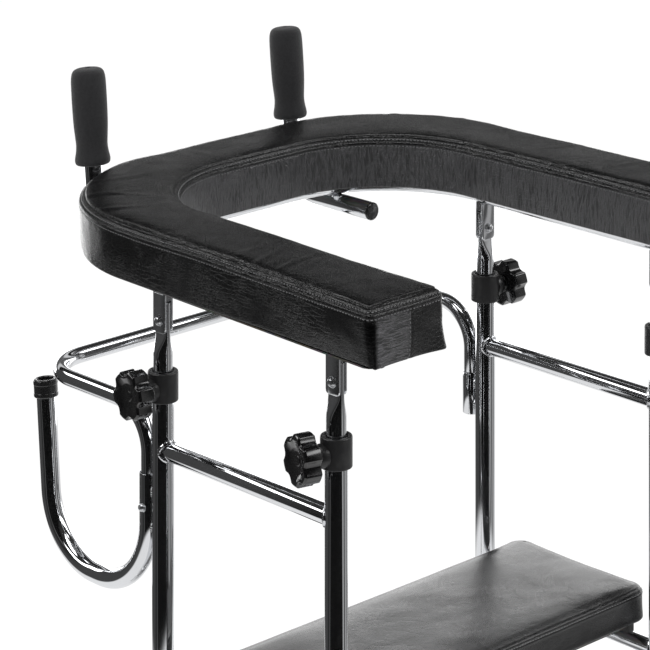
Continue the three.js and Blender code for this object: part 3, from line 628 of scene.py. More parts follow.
for c in CORNERS:
    cid, x, y, s = c["id"], c["x"], c["y"], math.copysign(1, c["x"])
    top = lambda z: A(x, y, z)
    out = lambda d, z=KNOB_Z: A(x, y, z) + c["knob"] * d

    leg = tube([top(BASE_Z + 11.2), top(LEG_TOP)], (), LEG_R, LEG_BORE, 64)
    piece(f"leg_tube_{cid}", leg, ["tube"], "frame", [f"leg_{cid}"])

    # collar: a moulded cup over the leg's end, with an inner lip round the upper tube and a boss for the screw
    H = COLLAR_HIGH - COLLAR_LOW
    outer = soften([(LEG_R + 0.15, 0), (COLLAR_R - 0.4, 0), (COLLAR_R, 0.9), (COLLAR_R, H - 1.1), (COLLAR_R - 0.9, H), (13.2, H), (12.7, H - 1.5), (LIFT_R + 0.35, H - 1.8),
                    (LIFT_R + 0.35, LEG_TOP + 0.3 - COLLAR_LOW), (LEG_R + 0.15, LEG_TOP + 0.3 - COLLAR_LOW)], 0.45, 3)
    collar = lathe(outer, top(COLLAR_LOW), (0, 0, 1), 72, closed=True)
    boss = lathe(soften([(4.8, 13.2), (13.0, 13.2), (13.0, 18.0), (12.6, 20.5), (11.7, 23.2), (10.2, 25.4), (9.0, 26.0), (4.8, 26.0)], 0.7, 3), out(0), c["knob"], 64, closed=True)
    collar.take(boss)
    piece(f"collar_moulding_{cid}", collar, ["collar"], "frame", [f"clamp_collar_{cid}"])

    # star knob with a scooped face, a necked hub and a threaded screw
    K = KNOB_R
    prof = soften([(0, 26.4), (8.8, 26.4), (9.8, 27.2), (10.0, 29.3), (K - 1.6, 29.3), (K, 30.6), (K, 40.0), (K, 48.4), (K - 1.9, 50.5), (22.6, 50.5), (19.6, 49.6), (14.0, 47.6), (9.5, 46.7), (5.6, 46.5),
                   (5.2, 47.1), (0, 47.2)], 0.9, 5)
    knob = lathe(prof, out(0), c["knob"], 240, shape=lambda t, r, h, turn=c["turn"]: star_radius(t, r, turn))
    screw = [(0, 11.35), (3.0, 11.35)]
    h = 11.8
    while h < 26.6:
        screw += [(3.98, h), (3.45, h + 0.5)]
        h += 1.0
    screw += [(3.6, 27.0), (0, 27.0)]
    rod = lathe(screw, out(0), c["knob"], 28, mat=1)
    piece(f"star_knob_{cid}", knob.take(rod), ["knob", "zinc"], f"clamp_knob_{cid}_body", [f"clamp_knob_{cid}"], 48.0)

    # telescoping tube, pressed flat at the top, with the pivot hole hidden behind the bracket
    zs = [LIFT_LOW, LIFT_LOW + 0.4] + list(np.linspace(500, FLAT_A, 8)) + list(np.linspace(FLAT_A, FLAT_B, 15)[1:]) + [868.0, 880.0, LIFT_TOP - 0.4, LIFT_TOP]
    wide = A(-c["bolt"][1], c["bolt"][0], 0)
    n = 64
    a = np.arange(n) * 2 * math.pi / n

    def section(z, rr):
        t = min(1.0, max(0.0, (z - FLAT_A) / (FLAT_B - FLAT_A)))
        t = t * t * (3 - 2 * t)
        wall = LIFT_R - rr
        e = 2 / 5.0
        cu, cv = np.cos(a), np.sin(a)
        fu, fv = np.sign(cu) * np.abs(cu) ** e * (FLAT_W - wall), np.sign(cv) * np.abs(cv) ** e * (FLAT_T - wall)
        u, v = cu * rr * (1 - t) + fu * t, cv * rr * (1 - t) + fv * t
        return A(x, y, z) + np.outer(u, wide) + np.outer(v, c["bolt"])

    outer_r = [section(z, LIFT_R - (0.35 if z in (LIFT_LOW, LIFT_TOP) else 0)) for z in zs]
    inner_r = [section(z, LIFT_BORE) for z in reversed(zs)]
    piece(f"lift_tube_bright_{cid}", Shell().loft(outer_r + inner_r, closed=True), ["tube"], "pad_lift", [f"lift_tube_{cid}"])

    # clevis bracket: a folded yoke with rounded cheeks, its dome-headed bolt and nut, and the welds to the ring
    yoke = Shell()
    for side in (-1, 1):
        o = A(x, y, 0) + c["bolt"] * (side * 4.875 - 1.125)
        pts = [(-10.5, 866.0), (-9.9, 863.4), (-8.4, 861.6), (-6.0, 861.0), (6.0, 861.0), (8.4, 861.6), (9.9, 863.4), (10.5, 866.0), (10.5, 908.0), (-10.5, 908.0)]
        yoke.take(plate(pts, 2.25, o, wide, (0, 0, 1), 0.45, 2) if np.dot(np.cross(wide, A(0, 0, 1)), c["bolt"]) > 0 else plate([(-p, q) for p, q in pts], 2.25, o, -wide, (0, 0, 1), 0.45, 2))
    o = A(x, y, 897.5) - wide * 10.4 - c["bolt"] * 5.9
    yoke.take(plate([(0, 0), (20.8, 0), (20.8, 11.8), (0, 11.8)], 10.5, o, wide, c["bolt"], 0.3, 1) if np.cross(wide, c["bolt"])[2] > 0 else
              plate([(0, 0), (11.8, 0), (11.8, 20.8), (0, 20.8)], 10.5, o, c["bolt"], wide, 0.3, 1))
    head = A(x, y, PIVOT_Z)
    bolt_shell = lathe([(0, -8.0), (3.0, -8.0), (3.0, 6.2), (0, 6.2)], head, c["bolt"], 24, mat=1)
    bolt_shell.take(lathe(soften([(0, 5.9), (6.3, 5.9), (6.3, 6.5), (5.3, 6.6), (5.2, 7.6), (4.6, 9.0), (3.2, 10.2), (1.4, 10.6), (0, 10.65)], 0.3, 2), head, c["bolt"], 48, mat=1))
    bolt_shell.take(lathe(soften([(0, 5.9), (5.9, 5.9), (5.9, 6.6), (4.7, 6.7), (4.7, 9.8), (3.4, 10.6), (2.8, 10.6), (2.8, 11.6), (2.2, 12.0), (0, 12.0)], 0.25, 2), head, -c["bolt"], 48, mat=1,
                          shape=lambda t, r, h: r * (math.cos(math.pi / 6) / math.cos((t % (math.pi / 3)) - math.pi / 6) if 6.65 < h < 10.7 and r > 3.2 else 1.0)))
    ring_dir, across = A(0, 1, 0), A(1, 0, 0)
    for sx in (-1, 1):
        half = 10.5 if abs(c["bolt"][0]) > 0.5 else 6.0     # along the ring
        off = 6.0 if abs(c["bolt"][0]) > 0.5 else 9.2       # across the ring
        zc = RING_Z - math.sqrt(max(0.0, RING_R ** 2 - min(off, 9.6) ** 2))
        yoke.take(capsule_weld(A(x + sx * off, y - half * 0.9, zc), A(x + sx * off, y + half * 0.9, zc), A(sx, 0, -0.6), 1.9, 6).moved())
    piece(f"pivot_yoke_{cid}", yoke.take(bolt_shell), ["bracket", "zinc"], "pad_lift", [f"pivot_bracket_{cid}"], 42.0)

# ---- side frames -----------------------------------------------------------------------------------------------------
welds = Shell()
for side, s in (("left", -1), ("right", 1)):
    X = s * LEG_X
    for name, z, ro, ri in (("upper_side_tube", SIDE_Z, UPPER_R, UPPER_BORE), ("lower_side_tube", SEAT_TUBE_Z, SIDE_R, SIDE_BORE)):
        e = LEG_Y - 11.6
        piece(f"{name}_bright_{side}", tube([A(X, e, z), A(X, -e, z)], (), ro, ri, 64), ["tube"], "frame", [f"{name}_{side}"])
        for q in (-1, 1):
            welds.take(saddle(A(X, q * LEG_Y, z), (0, 0, 1), LEG_R, (0, -q, 0), ro, 2.3))
    # base tube with pressed caster sockets at its ends
    n = 64
    base = tube([A(X, -CASTER_Y - 0.1, BASE_Z), A(X, CASTER_Y + 0.1, BASE_Z)], (), LEG_R, LEG_BORE, 64)
    for q in (-1, 1):
        base.take(lathe(soften([(5.2, 0.6), (6.0, 0), (13.2, 0), (14.0, 0.9), (14.0, 47.6), (13.2, 49.6), (11.0, 50.4), (0, 50.6)], 0.8, 4) + [(0, 44.0), (5.2, 44.0), (5.2, 0.6)], A(X, q * CASTER_Y, 111), (0, 0, 1), 64))
    piece(f"base_tube_bright_{side}", base, ["tube"], "frame", [f"base_tube_{side}"])
    for q in (-1, 1):
        welds.take(saddle(A(X, q * CASTER_Y, BASE_Z), (0, 0, 1), 14.0, (0, -q, 0), LEG_R, 2.2))
        welds.take(saddle(A(X, q * LEG_Y, BASE_Z), (0, 1, 0), LEG_R, (0, 0, 1), LEG_R - 0.01, 2.4))
    stop = plate([(-5.4, 0), (5.4, 0), (5.4, SEAT_LOW - 0.35 - 436), (-5.4, SEAT_LOW - 0.35 - 436)], 30, A(X, -70, 436), (1, 0, 0), (0, 0, 1), 1.4, 4)
    piece(f"seat_stop_rubber_{side}", stop, ["rubber"], "frame", [f"seat_stop_{side}"])
for name, yy, z, host in (("front_cross_tube", LEG_Y, CROSS_Z, (0, 0, 1)), ("base_cross_tube", BASE_CROSS_Y, BASE_Z, (0, 1, 0))):
    piece(f"{name}_bright", tube([A(-LEG_X + 11.6, yy, z), A(LEG_X - 11.6, yy, z)], (), SIDE_R, SIDE_BORE, 64), ["tube"], "frame", [name])
    for s in (-1, 1):
        welds.take(saddle(A(s * LEG_X, yy, z), host, LEG_R, (-s, 0, 0), SIDE_R, 2.3))

# ---- front rail, its sockets and the pole holder ---------------------------------------------------------------------
piece("front_rail_bright", tube([A(-LEG_X, HOLDER_Y, 662), A(-LEG_X, HOLDER_Y, RAIL_Z), A(-LEG_X, RAIL_FRONT, RAIL_Z), A(LEG_X, RAIL_FRONT, RAIL_Z), A(LEG_X, SOCKET_Y, RAIL_Z), A(LEG_X, SOCKET_Y, 657)],
      [50, 62, 62, 50], SIDE_R, SIDE_BORE, 56), ["tube"], "frame", ["front_rail"])
LEAN = unit(A(0, 0.0866, 1))
HOLDER_END = A(-LEG_X, 361, 748)
holder = tube([A(-LEG_X, HOLDER_Y, 696), A(-LEG_X, HOLDER_Y, HOLDER_LOW), A(-LEG_X, 344.1, HOLDER_LOW), HOLDER_END], [87, 84], HOLDER_R, HOLDER_BORE, 64)
screw_head = lathe(soften([(0, -1.0), (5.6, -1.0), (5.6, 0.4), (4.7, 0.5), (4.6, 1.6), (3.6, 3.2), (1.8, 4.0), (1.1, 4.0), (1.0, 3.1), (0, 3.0)], 0.25, 2), A(-LEG_X - 10.7, HOLDER_Y, 658), (-1, 0, 0), 40, mat=1)
piece("holder_tube_bright", holder.take(screw_head), ["tube", "zinc"], "frame", ["holder_tube"])
cap = lathe(soften([(HOLDER_R + 0.1, 0.3), (12.6, 0), (13.9, 0.2), (14.5, 1.4), (14.5, 5.0), (14.1, 5.5), (14.1, 14.5), (14.5, 15.0), (14.5, 19.0), (13.7, 20.6), (12.4, 21.0), (10.6, 21.0), (9.8, 20.0), (9.8, 13.2), (HOLDER_R + 0.1, 13.2), (HOLDER_R + 0.1, 0.3)], 0.5, 3),
            HOLDER_END - LEAN * 12.9, LEAN, 72, closed=True)
piece("holder_cap_moulding", cap, ["cap"], "frame", ["holder_cap"])
sock = tube([A(LEG_X, SOCKET_Y, 689), A(LEG_X, SOCKET_Y, 637.6)], (), 10.95, 9.9, 56)
sock.take(lathe(soften([(0, 0), (10.2, 0), (10.9, 0.8), (10.9, 2.2), (9.8, 2.6), (0, 2.6)], 0.4, 3), A(LEG_X, SOCKET_Y, 637), (0, 0, 1), 56))
piece("rail_socket_bright", sock, ["tube"], "frame", ["rail_socket"])
for X, yy, rr, zz in ((-LEG_X, HOLDER_Y, HOLDER_R, (677, 637)), (LEG_X, SOCKET_Y, 10.95, (676, 650))):
    ym = LEG_Y + (yy - LEG_Y) * LEG_R / (LEG_R + rr)
    for z in zz:
        for q in (-1, 1):
            welds.take(capsule_weld(A(X + q * 4.6, ym, z - 5.5), A(X + q * 4.9, ym, z + 5.5), A(q, 0, 0), 2.9, 4))
piece("frame_welds", welds, ["weld"], "frame")

# ---- ring and handles ------------------------------------------------------------------------------------------------
ring_pts = [A(LEG_X, RING_REAR, RING_Z), A(LEG_X, RING_FRONT, RING_Z), A(-LEG_X, RING_FRONT, RING_Z), A(-LEG_X, RING_REAR, RING_Z)]
ring = tube(ring_pts, [RING_BEND, RING_BEND], RING_R, 8.8, 56, 1.5)
tabs = Shell()
for X, yy in ((-LEG_X, -190), (LEG_X, -190), (-LEG_X, 60), (LEG_X, 60), (-60, RING_FRONT), (60, RING_FRONT)):
    # small steel ears with a wood screw, which hold the board to the ring
    along = A(0, 1, 0) if abs(X) > 200 else A(1, 0, 0)
    inward = A(-math.copysign(1, X), 0, 0) if abs(X) > 200 else A(0, -1, 0)
    o = A(X, yy, PAD_LOW - 4.3) - along * 9
    pts = [(0, -2), (18, -2), (18, 20), (15, 25), (3, 25), (0, 20)]
    if np.cross(along, inward)[2] > 0:
        tabs.take(plate(pts, 2.0, o, along, inward, 0.35, 2, mat=1))
    else:
        tabs.take(plate([(q, p) for p, q in pts], 2.0, o, inward, along, 0.35, 2, mat=1))
    p = A(X, yy, PAD_LOW - 4.3) + inward * 16.5
    tabs.take(lathe(soften([(0, 0.3), (4.4, 0.3), (4.2, -1.2), (2.6, -2.5), (1.0, -2.8), (0.9, -2.0), (0, -2.0)], 0.2, 2), p, (0, 0, 1), 32, mat=1))
cross = Shell()
for s in (-1, 1):
    f = np.arange(84) * 2 * math.pi / 84
    dx, dy = 7.6 * np.cos(f), 7.2 * np.sin(f)
    z = (RING_Z - np.sqrt(RING_R ** 2 - dy ** 2) + BAR_Z + np.sqrt(BAR_R ** 2 - dx ** 2)) / 2
    C = np.stack([s * BAR_X + dx, RING_FRONT + dy, z], 1)
    N = np.stack([np.cos(f), np.sin(f), f * 0], 1)
    cross.take(bead_along(C, N, 2.7, True, 16, 12))
ring.take(tabs)
cross.m = [0] * len(cross.m)
piece("pad_ring_bright", ring, ["tube", "zinc"], "pad_lift", ["pad_ring_tube"])
piece("ring_welds", cross, ["weld"], "pad_lift")

stem = lambda X, z: A(X, STEM_Y + (z - STEM_Z) * STEM_LEAN, z)
STEM_DIR = unit(A(0, STEM_LEAN, 1))


def grip_radius(t, r, h):
    """Moulded waist rings low down and a soft flat facing the palm."""
    return r * (1.0 + 0.012 * math.cos(2 * t))


for side, s in (("left", -1), ("right", 1)):
    X = s * BAR_X
    piece(f"handle_bar_bright_{side}", tube([A(X, BAR_INNER, BAR_Z), stem(X, BAR_Z), stem(X, 1088)], [BAR_BEND], BAR_R, BAR_BORE, 64), ["tube"], "pad_lift", [f"handle_bar_{side}"])
    prof = soften([(11.15, 0.0), (17.6, 0.0), (20.2, 0.9), (21.3, 3.0), (21.6, 6.0), (21.1, 9.5), (20.1, 14), (19.4, 19), (19.1, 24), (19.4, 29), (19.9, 35), (20.6, 44), (21.05, 54), (21.3, 66), (21.4, 80), (21.35, 92), (21.2, 100),
                   (20.7, 106), (19.5, 110.6), (17.3, 113.6), (13.8, 115.2), (9.4, 115.8), (3.2, 116.0), (2.8, 115.2), (2.2, 113.6), (0, 113.4)], 1.2, 3)
    grip = lathe(prof + [(0, 106.5), (11.15, 106.5)], stem(X, 984.5), STEM_DIR, 80, closed=False, shape=lambda t, r, h: grip_radius(t, r, h) if r > 12 else r)
    grip = lathe([(11.15, 106.5)] + prof[0:0] + [(11.15, 0.0)] + prof[1:] + [(0, 106.5), (11.15, 106.5)], stem(X, 984.5), STEM_DIR, 80, shape=lambda t, r, h: grip_radius(t, r, h) if r > 12 else r)
    piece(f"handle_grip_foam_{side}", grip, ["foam"], "pad_lift", [f"handle_grip_{side}"])
    plug = lathe(soften([(0, 0), (6.5, 0.05), (9.6, 0.3), (11.0, 1.2), (11.2, 2.2), (11.2, 3.2), (9.4, 3.3), (9.4, 5.0), (9.1, 5.4), (9.4, 5.9), (9.4, 8.2), (9.0, 8.7), (9.4, 9.2), (9.4, 14), (8.4, 15), (0, 15)], 0.35, 3), A(X, BAR_INNER - 3.3, BAR_Z), (0, 1, 0), 56)
    piece(f"handle_plug_moulding_{side}", plug, ["cap"], "pad_lift", [f"handle_plug_{side}"])


# ---- upholstery ------------------------------------------------------------------------------------------------------
def pad_curves(inset, counts):
    """The U-shaped plan drawn in by inset: inner edge, outer edge and the two arm ends, as lists of pieces with equal counts."""
    wr, wf = 327 - inset, 315 - inset
    ir, inf = 216 + inset, 208 + inset
    rear, front, back = PAD_REAR + inset, PAD_FRONT - inset, 267 + inset
    ro, ri, rc = 213 - inset, 145 + inset, max(9 - inset, 0.4)
    nc, na, nb, nf, ne = counts
    line = lambda p, q, n: np.linspace(p, q, n + 1)
    outer = [arc(-wr + rc, rear + rc, rc, 225, 180, nc), line((-wr, rear + rc), (-wf, front - ro), na), arc(-wf + ro, front - ro, ro, 180, 90, nb), line((-wf + ro, front), (0, front), nf)]
    inner = [arc(-ir - rc, rear + rc, rc, 315, 360, nc), line((-ir, rear + rc), (-inf, back - ri), na), arc(-inf + ri, back - ri, ri, 180, 90, nb), line((-inf + ri, back), (0, back), nf)]
    flip = lambda pieces: [p[::-1] * A(-1, 1) for p in reversed(pieces)]
    outer, inner = outer + flip(outer), inner + flip(inner)
    end = [arc(-ir - rc, rear + rc, rc, 315, 270, nc), line((-ir - rc, rear), (-wr + rc, rear), ne), arc(-wr + rc, rear + rc, rc, 270, 225, nc)]
    end2 = [p * A(-1, 1) for p in end]
    return inner, outer, end, end2


def seat_curves(inset, counts):
    nc, na, ne = counts
    x, y0, y1, r = SEAT_X - inset, SEAT_REAR + inset, SEAT_FRONT - inset, max(24 - inset, 0.5)
    line = lambda p, q, n: np.linspace(p, q, n + 1)
    low = [arc(-x + r, y0 + r, r, 225, 270, nc), line((-x + r, y0), (x - r, y0), na), arc(x - r, y0 + r, r, 270, 315, nc)]
    high = [arc(-x + r, y1 - r, r, 135, 90, nc), line((-x + r, y1), (x - r, y1), na), arc(x - r, y1 - r, r, 90, 45, nc)]
    d0 = [arc(-x + r, y0 + r, r, 225, 180, nc), line((-x, y0 + r), (-x, y1 - r), ne), arc(-x + r, y1 - r, r, 180, 135, nc)]
    d1 = [arc(x - r, y0 + r, r, 315, 360, nc), line((x, y0 + r), (x, y1 - r), ne), arc(x - r, y1 - r, r, 0, 45, nc)]
    return low, high, d0, d1


def join(pieces):
    return np.vstack([pieces[0]] + [p[1:] for p in pieces[1:]])


def params(pieces, coarse):
    """For each joined vertex, where it falls on the coarse vertex numbering."""
    out, base = [0.0], 0.0
    for p, q in zip(pieces, coarse):
        nf, nc = len(p) - 1, len(q) - 1
        out += [base + nc * (k + 1) / nf for k in range(nf)]
        base += nc
    return np.array(out)


def patch(C0, C1, D0, D1, reach):
    """A grid between the inner and outer edge, pulled to the end edges near the ends."""
    S, U = len(C0), len(D0)
    u = np.concatenate([[0], np.cumsum(np.linalg.norm(np.diff(D0, axis=0), axis=1))])
    u /= u[-1]
    G = C0[:, None] * (1 - u)[None, :, None] + C1[:, None] * u[None, :, None]
    mid = (C0 + C1) / 2
    dist = np.concatenate([[0], np.cumsum(np.linalg.norm(np.diff(mid, axis=0), axis=1))])
    for w, D, base in ((dist, D0, G[0].copy()), (dist[-1] - dist, D1, G[-1].copy())):
        k = np.clip(1 - w / reach, 0, 1)
        k = k * k * (3 - 2 * k)
        G += k[:, None, None] * (D - base)[None]
    G[0], G[-1], G[:, 0], G[:, -1] = D0, D1, C0, C1
    return G


class Pad:
    """An upholstered pad: a side band whose rows follow profile (inset, height), a top panel and a bottom panel."""

    def __init__(self, curves, counts, profile, reach, z_low):
        self.profile = profile
        loops, self.normals = [], None
        a, b = curves(0.0, counts), curves(1.0, counts)
        self.pieces = a
        self.loop_pieces = list(a[2]) + list(a[1]) + [p[::-1] for p in reversed(a[3])] + [p[::-1] for p in reversed(a[0])]
        L = lambda c: np.vstack([join(c[2]), join(c[1])[1:], join(c[3])[::-1][1:], join(c[0])[::-1][1:-1]])
        self.loop_of = L
        q0, q1 = L(a), L(b)
        n = q0 - q1
        self.normals = n / np.linalg.norm(n, axis=1)[:, None]
        self.Q = q0
        rows = []
        for ins, z in profile:
            q = L(curves(ins, counts))
            rows.append(np.column_stack([q, np.full(len(q), z)]))
        self.rows = np.array(rows)                                # (rows, loop, 3)
        grid = lambda ins: patch(*(join(p) for p in curves(ins, counts)), reach)
        gt, gb = grid(profile[-1][0]), grid(profile[0][0])
        self.top = np.dstack([gt, np.full(gt.shape[:2], profile[-1][1])])
        self.bottom = np.dstack([gb, np.full(gb.shape[:2], profile[0][1])])

    def assemble(self, rows=None, top=None, bottom=None):
        """Verts and faces, and where each part starts."""
        rows = self.rows if rows is None else rows
        top = self.top if top is None else top
        bottom = self.bottom if bottom is None else bottom
        R, Lp = rows.shape[:2]
        S, U = top.shape[:2]
        verts = [rows.reshape(-1, 3)]
        ring = {}
        order = [(0, j) for j in range(U)] + [(i, U - 1) for i in range(1, S)] + [(S - 1, j) for j in range(U - 2, -1, -1)] + [(i, 0) for i in range(S - 2, 0, -1)]
        assert len(order) == Lp, (len(order), Lp)
        faces = []
        for r in range(R - 1):
            for i in range(Lp):
                j = (i + 1) % Lp
                faces.append((r * Lp + i, r * Lp + j, (r + 1) * Lp + j, (r + 1) * Lp + i))
        base = R * Lp
        for g, row in ((bottom, 0), (top, R - 1)):
            idx = -np.ones((S, U), int)
            for k, (i, j) in enumerate(order):
                idx[i, j] = row * Lp + k
            inside = [(i, j) for i in range(1, S - 1) for j in range(1, U - 1)]
            for k, (i, j) in enumerate(inside):
                idx[i, j] = base + k
            verts.append(g[1:-1, 1:-1].reshape(-1, 3))
            base += len(inside)
            for i in range(S - 1):
                for j in range(U - 1):
                    q = (idx[i, j], idx[i + 1, j], idx[i + 1, j + 1], idx[i, j + 1])
                    faces.append(q if row == 0 else q[::-1])
            ring[row] = idx
        return np.vstack(verts), faces, ring[0], ring[R - 1]


def cubic(G, a, axis, wrap=False):
    """Catmull-Rom sampling of G at positions a along axis."""
    G = np.moveaxis(G, axis, 0)
    n = len(G)
    i = np.floor(a).astype(int)
    if not wrap:
        i = np.clip(i, 0, n - 2)
    t = (a - i).reshape((-1,) + (1,) * (G.ndim - 1))
    pick = (lambda k: G[k % n]) if wrap else (lambda k: G[np.clip(k, 0, n - 1)])
    p0, p1, p2, p3 = pick(i - 1), pick(i), pick(i + 1), pick(i + 2)
    out = 0.5 * (2 * p1 + (p2 - p0) * t + (2 * p0 - 5 * p1 + 4 * p2 - p3) * t ** 2 + (3 * p1 - p0 - 3 * p2 + p3) * t ** 3)
    return np.moveaxis(out, 0, axis)


def inflate(name, pad, pinned_rows, cap_mm, pressure=4.0, frames_n=20, slack=0.0, stiff=18.0):
    """Runs Cloth with pressure on the coarse pad and returns the capped movement of every vertex, in mm."""
    verts, faces, idx_b, idx_t = pad.assemble()
    me = bpy.data.meshes.new(name + "_cloth")
    me.from_pydata((verts * MM).tolist(), [], faces)
    me.update()
    bm = bmesh.new()
    bm.from_mesh(me)
    bmesh.ops.recalc_face_normals(bm, faces=bm.faces)
    bm.to_mesh(me)
    bm.free()
    ob = bpy.data.objects.new(name + "_cloth", me)
    bpy.context.scene.collection.objects.link(ob)
    R, Lp = pad.rows.shape[:2]
    pin = set(range(pinned_rows * Lp)) | set(int(i) for i in idx_b.ravel())
    vg = ob.vertex_groups.new(name="pin")
    vg.add(sorted(pin), 1.0, "REPLACE")
    mod = ob.modifiers.new("cloth", "CLOTH")
    st = mod.settings
    st.quality = 5
    st.mass = 0.3
    st.tension_stiffness = st.compression_stiffness = stiff
    st.shear_stiffness = 6.0
    st.bending_stiffness = 0.6
    st.tension_damping = st.compression_damping = 8.0
    st.air_damping = 2.0
    st.use_pressure = True
    st.uniform_pressure_force = pressure
    st.vertex_group_mass = "pin"
    st.effector_weights.gravity = 0.0
    st.shrink_min = slack
    mod.collision_settings.use_collision = False
    mod.collision_settings.use_self_collision = False
    mod.point_cache.frame_start, mod.point_cache.frame_end = 1, frames_n
    sc = bpy.context.scene
    for f in range(1, frames_n + 1):
        sc.frame_set(f)
    dg = bpy.context.evaluated_depsgraph_get()
    ev = ob.evaluated_get(dg).to_mesh()
    co = np.zeros(len(ev.vertices) * 3)
    ev.vertices.foreach_get("co", co)
    D = co.reshape(-1, 3) / MM - verts
    ob.evaluated_get(dg).to_mesh_clear()
    bpy.data.objects.remove(ob)
    sc.frame_set(1)
    mag = np.linalg.norm(D, axis=1)
    print(f"cloth {name}: {len(verts)} points, free movement up to {mag.max():.1f} mm, mean {mag.mean():.2f} mm")
    k = np.where(mag > 1e-6, cap_mm * np.tanh(mag / cap_mm) / np.maximum(mag, 1e-6), 0.0)
    D = D * k[:, None]
    rows = D[: R * Lp].reshape(R, Lp, 3)
    return rows, D[idx_t], D[idx_b]


def upsample(fine, coarse, rows_c, top_c, bottom_c, row_pos, passes=1):
    """Carries the coarse movement to the fine pad."""
    lp = params(fine.loop_pieces, coarse.loop_pieces)[:-1]
    s = params(fine.pieces[1], coarse.pieces[1])
    u = params(fine.pieces[2], coarse.pieces[2])
    rows = cubic(cubic(rows_c, lp, 1, True), row_pos, 0)
    top = cubic(cubic(top_c, s, 0), u, 1)
    bottom = cubic(cubic(bottom_c, s, 0), u, 1)
    return rows, top, bottom


def calm(G, axis, sigma, wrap=False):
    """Gaussian smoothing along one axis."""
    reach = int(3 * sigma) + 1
    w = np.exp(-0.5 * (np.arange(-reach, reach + 1) / sigma) ** 2)
    G = np.moveaxis(G, axis, 0)
    n = len(G)
    out = 0
    for k, q in zip(range(-reach, reach + 1), w / w.sum()):
        i = np.arange(n) + k
        i = i % n if wrap else np.where(i < 0, -i, np.where(i > n - 1, 2 * (n - 1) - i, i))
        out = out + q * G[i]
    return np.moveaxis(out, 0, axis)


def noise_1d(n, period, amp, seed, octaves=3):
    r = np.random.RandomState(seed)
    x = np.arange(n) / n * 2 * math.pi
    out = np.zeros(n)
    for k in range(octaves):
        for f in range(max(1, int(n / period * 2 ** k) - 2), int(n / period * 2 ** k) + 3):
            out += np.sin(x * f + r.rand() * 6.28) * amp / (5 * 1.6 ** k)
    return out


def smooth_noise(P, scale, seed, octaves=3):
    """A cheap smooth noise in space: sums of plane waves with seeded directions."""
    r = np.random.RandomState(seed)
    out = np.zeros(P.shape[:-1])
    amp = 1.0
    for o in range(octaves):
        for k in range(7):
            d = r.normal(size=3)
            d /= np.linalg.norm(d)
            out += amp * np.sin(P @ d * (2 * math.pi / scale) * (2 ** o) * (0.7 + 0.6 * r.rand()) + r.rand() * 6.28)
        amp *= 0.5
    return out / 4.5


def stitches(path, normals, pitch, length, radius, lift=0.15, mat=0, seed=3):
    """Thread stitches laid end to end along a closed or open path of points."""
    r = np.random.RandomState(seed)
    d = np.linalg.norm(np.diff(path, axis=0), axis=1)
    dist = np.concatenate([[0], np.cumsum(d)])
    total = dist[-1]
    count = int(total // pitch)
    s = Shell()
    a6 = np.arange(6) * math.pi / 3
    for k in range(count):
        m = (k + 0.5) * total / count + r.normal() * 0.12
        ts = np.array([m - length / 2, m - length * 0.3, m, m + length * 0.3, m + length / 2])
        C = np.stack([np.interp(ts, dist, path[:, i]) for i in range(3)], 1)
        N = unit(np.array([np.interp(m, dist, normals[:, i]) for i in range(3)]))
        t = unit(C[-1] - C[0])
        e2 = np.cross(t, N)
        lifts = (-0.45, 0.08, lift + 0.1, 0.08, -0.45)
        rads = (0.5, 0.95, 1.0, 0.95, 0.5)
        rings = [C[i] + N * lifts[i] + np.outer(np.cos(a6) * radius * rads[i], N) + np.outer(np.sin(a6) * radius * rads[i], e2) for i in range(5)]
        s.loft([(C[0] + N * -0.6).reshape(1, 3)] + rings + [(C[-1] + N * -0.6).reshape(1, 3)], mat)
    return s


def bumps(x, centres, width):
    return sum(np.exp(-((x - c) / width) ** 2) for c in centres)


def ease(t):
    t = np.clip(t, 0, 1)
    return t * t * (3 - 2 * t)


# --- forearm pad: profile of the side band from the board up over the edge, in (inset, height)
def band_profile(low, high, roll, r_low, fine, step):
    """Profile rows: bottom roll, wall, and the rolled top edge, finely cut near the seams. The roll is an ellipse
    (across, up, degrees), which stops short of level where the top panel takes over."""
    ax, az, stop = roll
    pts = [(r_low + 3.0, low), (r_low, low)] + [(r_low * (1 - math.sin(rad(a))), low + r_low * (1 - math.cos(rad(a)))) for a in (35, 65, 90)]
    z = low + r_low
    z_end = high - az * math.sin(rad(stop))
    zz = list(np.linspace(z, high - 17.0, max(2, int((high - 17.0 - z) / step)) + 1)[1:])
    pts += [(0.0, q) for q in zz]
    n = int((z_end - (high - 17.0)) / fine)
    pts += [(0.0, q) for q in np.linspace(high - 17.0, z_end, n + 1)[1:]]
    for a in np.linspace(0, stop, int(rad(stop) * (ax + az) / 2 / fine) + 1)[1:]:
        pts.append((ax * (1 - math.cos(rad(a))), z_end + az * math.sin(rad(a))))
    return pts


def path_length(profile):
    p = np.array(profile)
    return np.concatenate([[0], np.cumsum(np.linalg.norm(np.diff(p, axis=0), axis=1))])


def coarse_profile(profile, count):
    """Evenly spaced rows on the same profile, and for each fine row its place among them."""
    d = path_length(profile)
    t = np.linspace(0, d[-1], count)
    p = np.array(profile)
    return [(float(np.interp(q, d, p[:, 0])), float(np.interp(q, d, p[:, 1]))) for q in t], d / d[-1] * (count - 1)


def surface_normals(G, wrap):
    du = (np.roll(G, -1, 1) - np.roll(G, 1, 1)) if wrap else np.gradient(G, axis=1)
    dv = np.gradient(G, axis=0)
    n = np.cross(du, dv)
    return n / np.maximum(np.linalg.norm(n, axis=-1, keepdims=True), 1e-9)


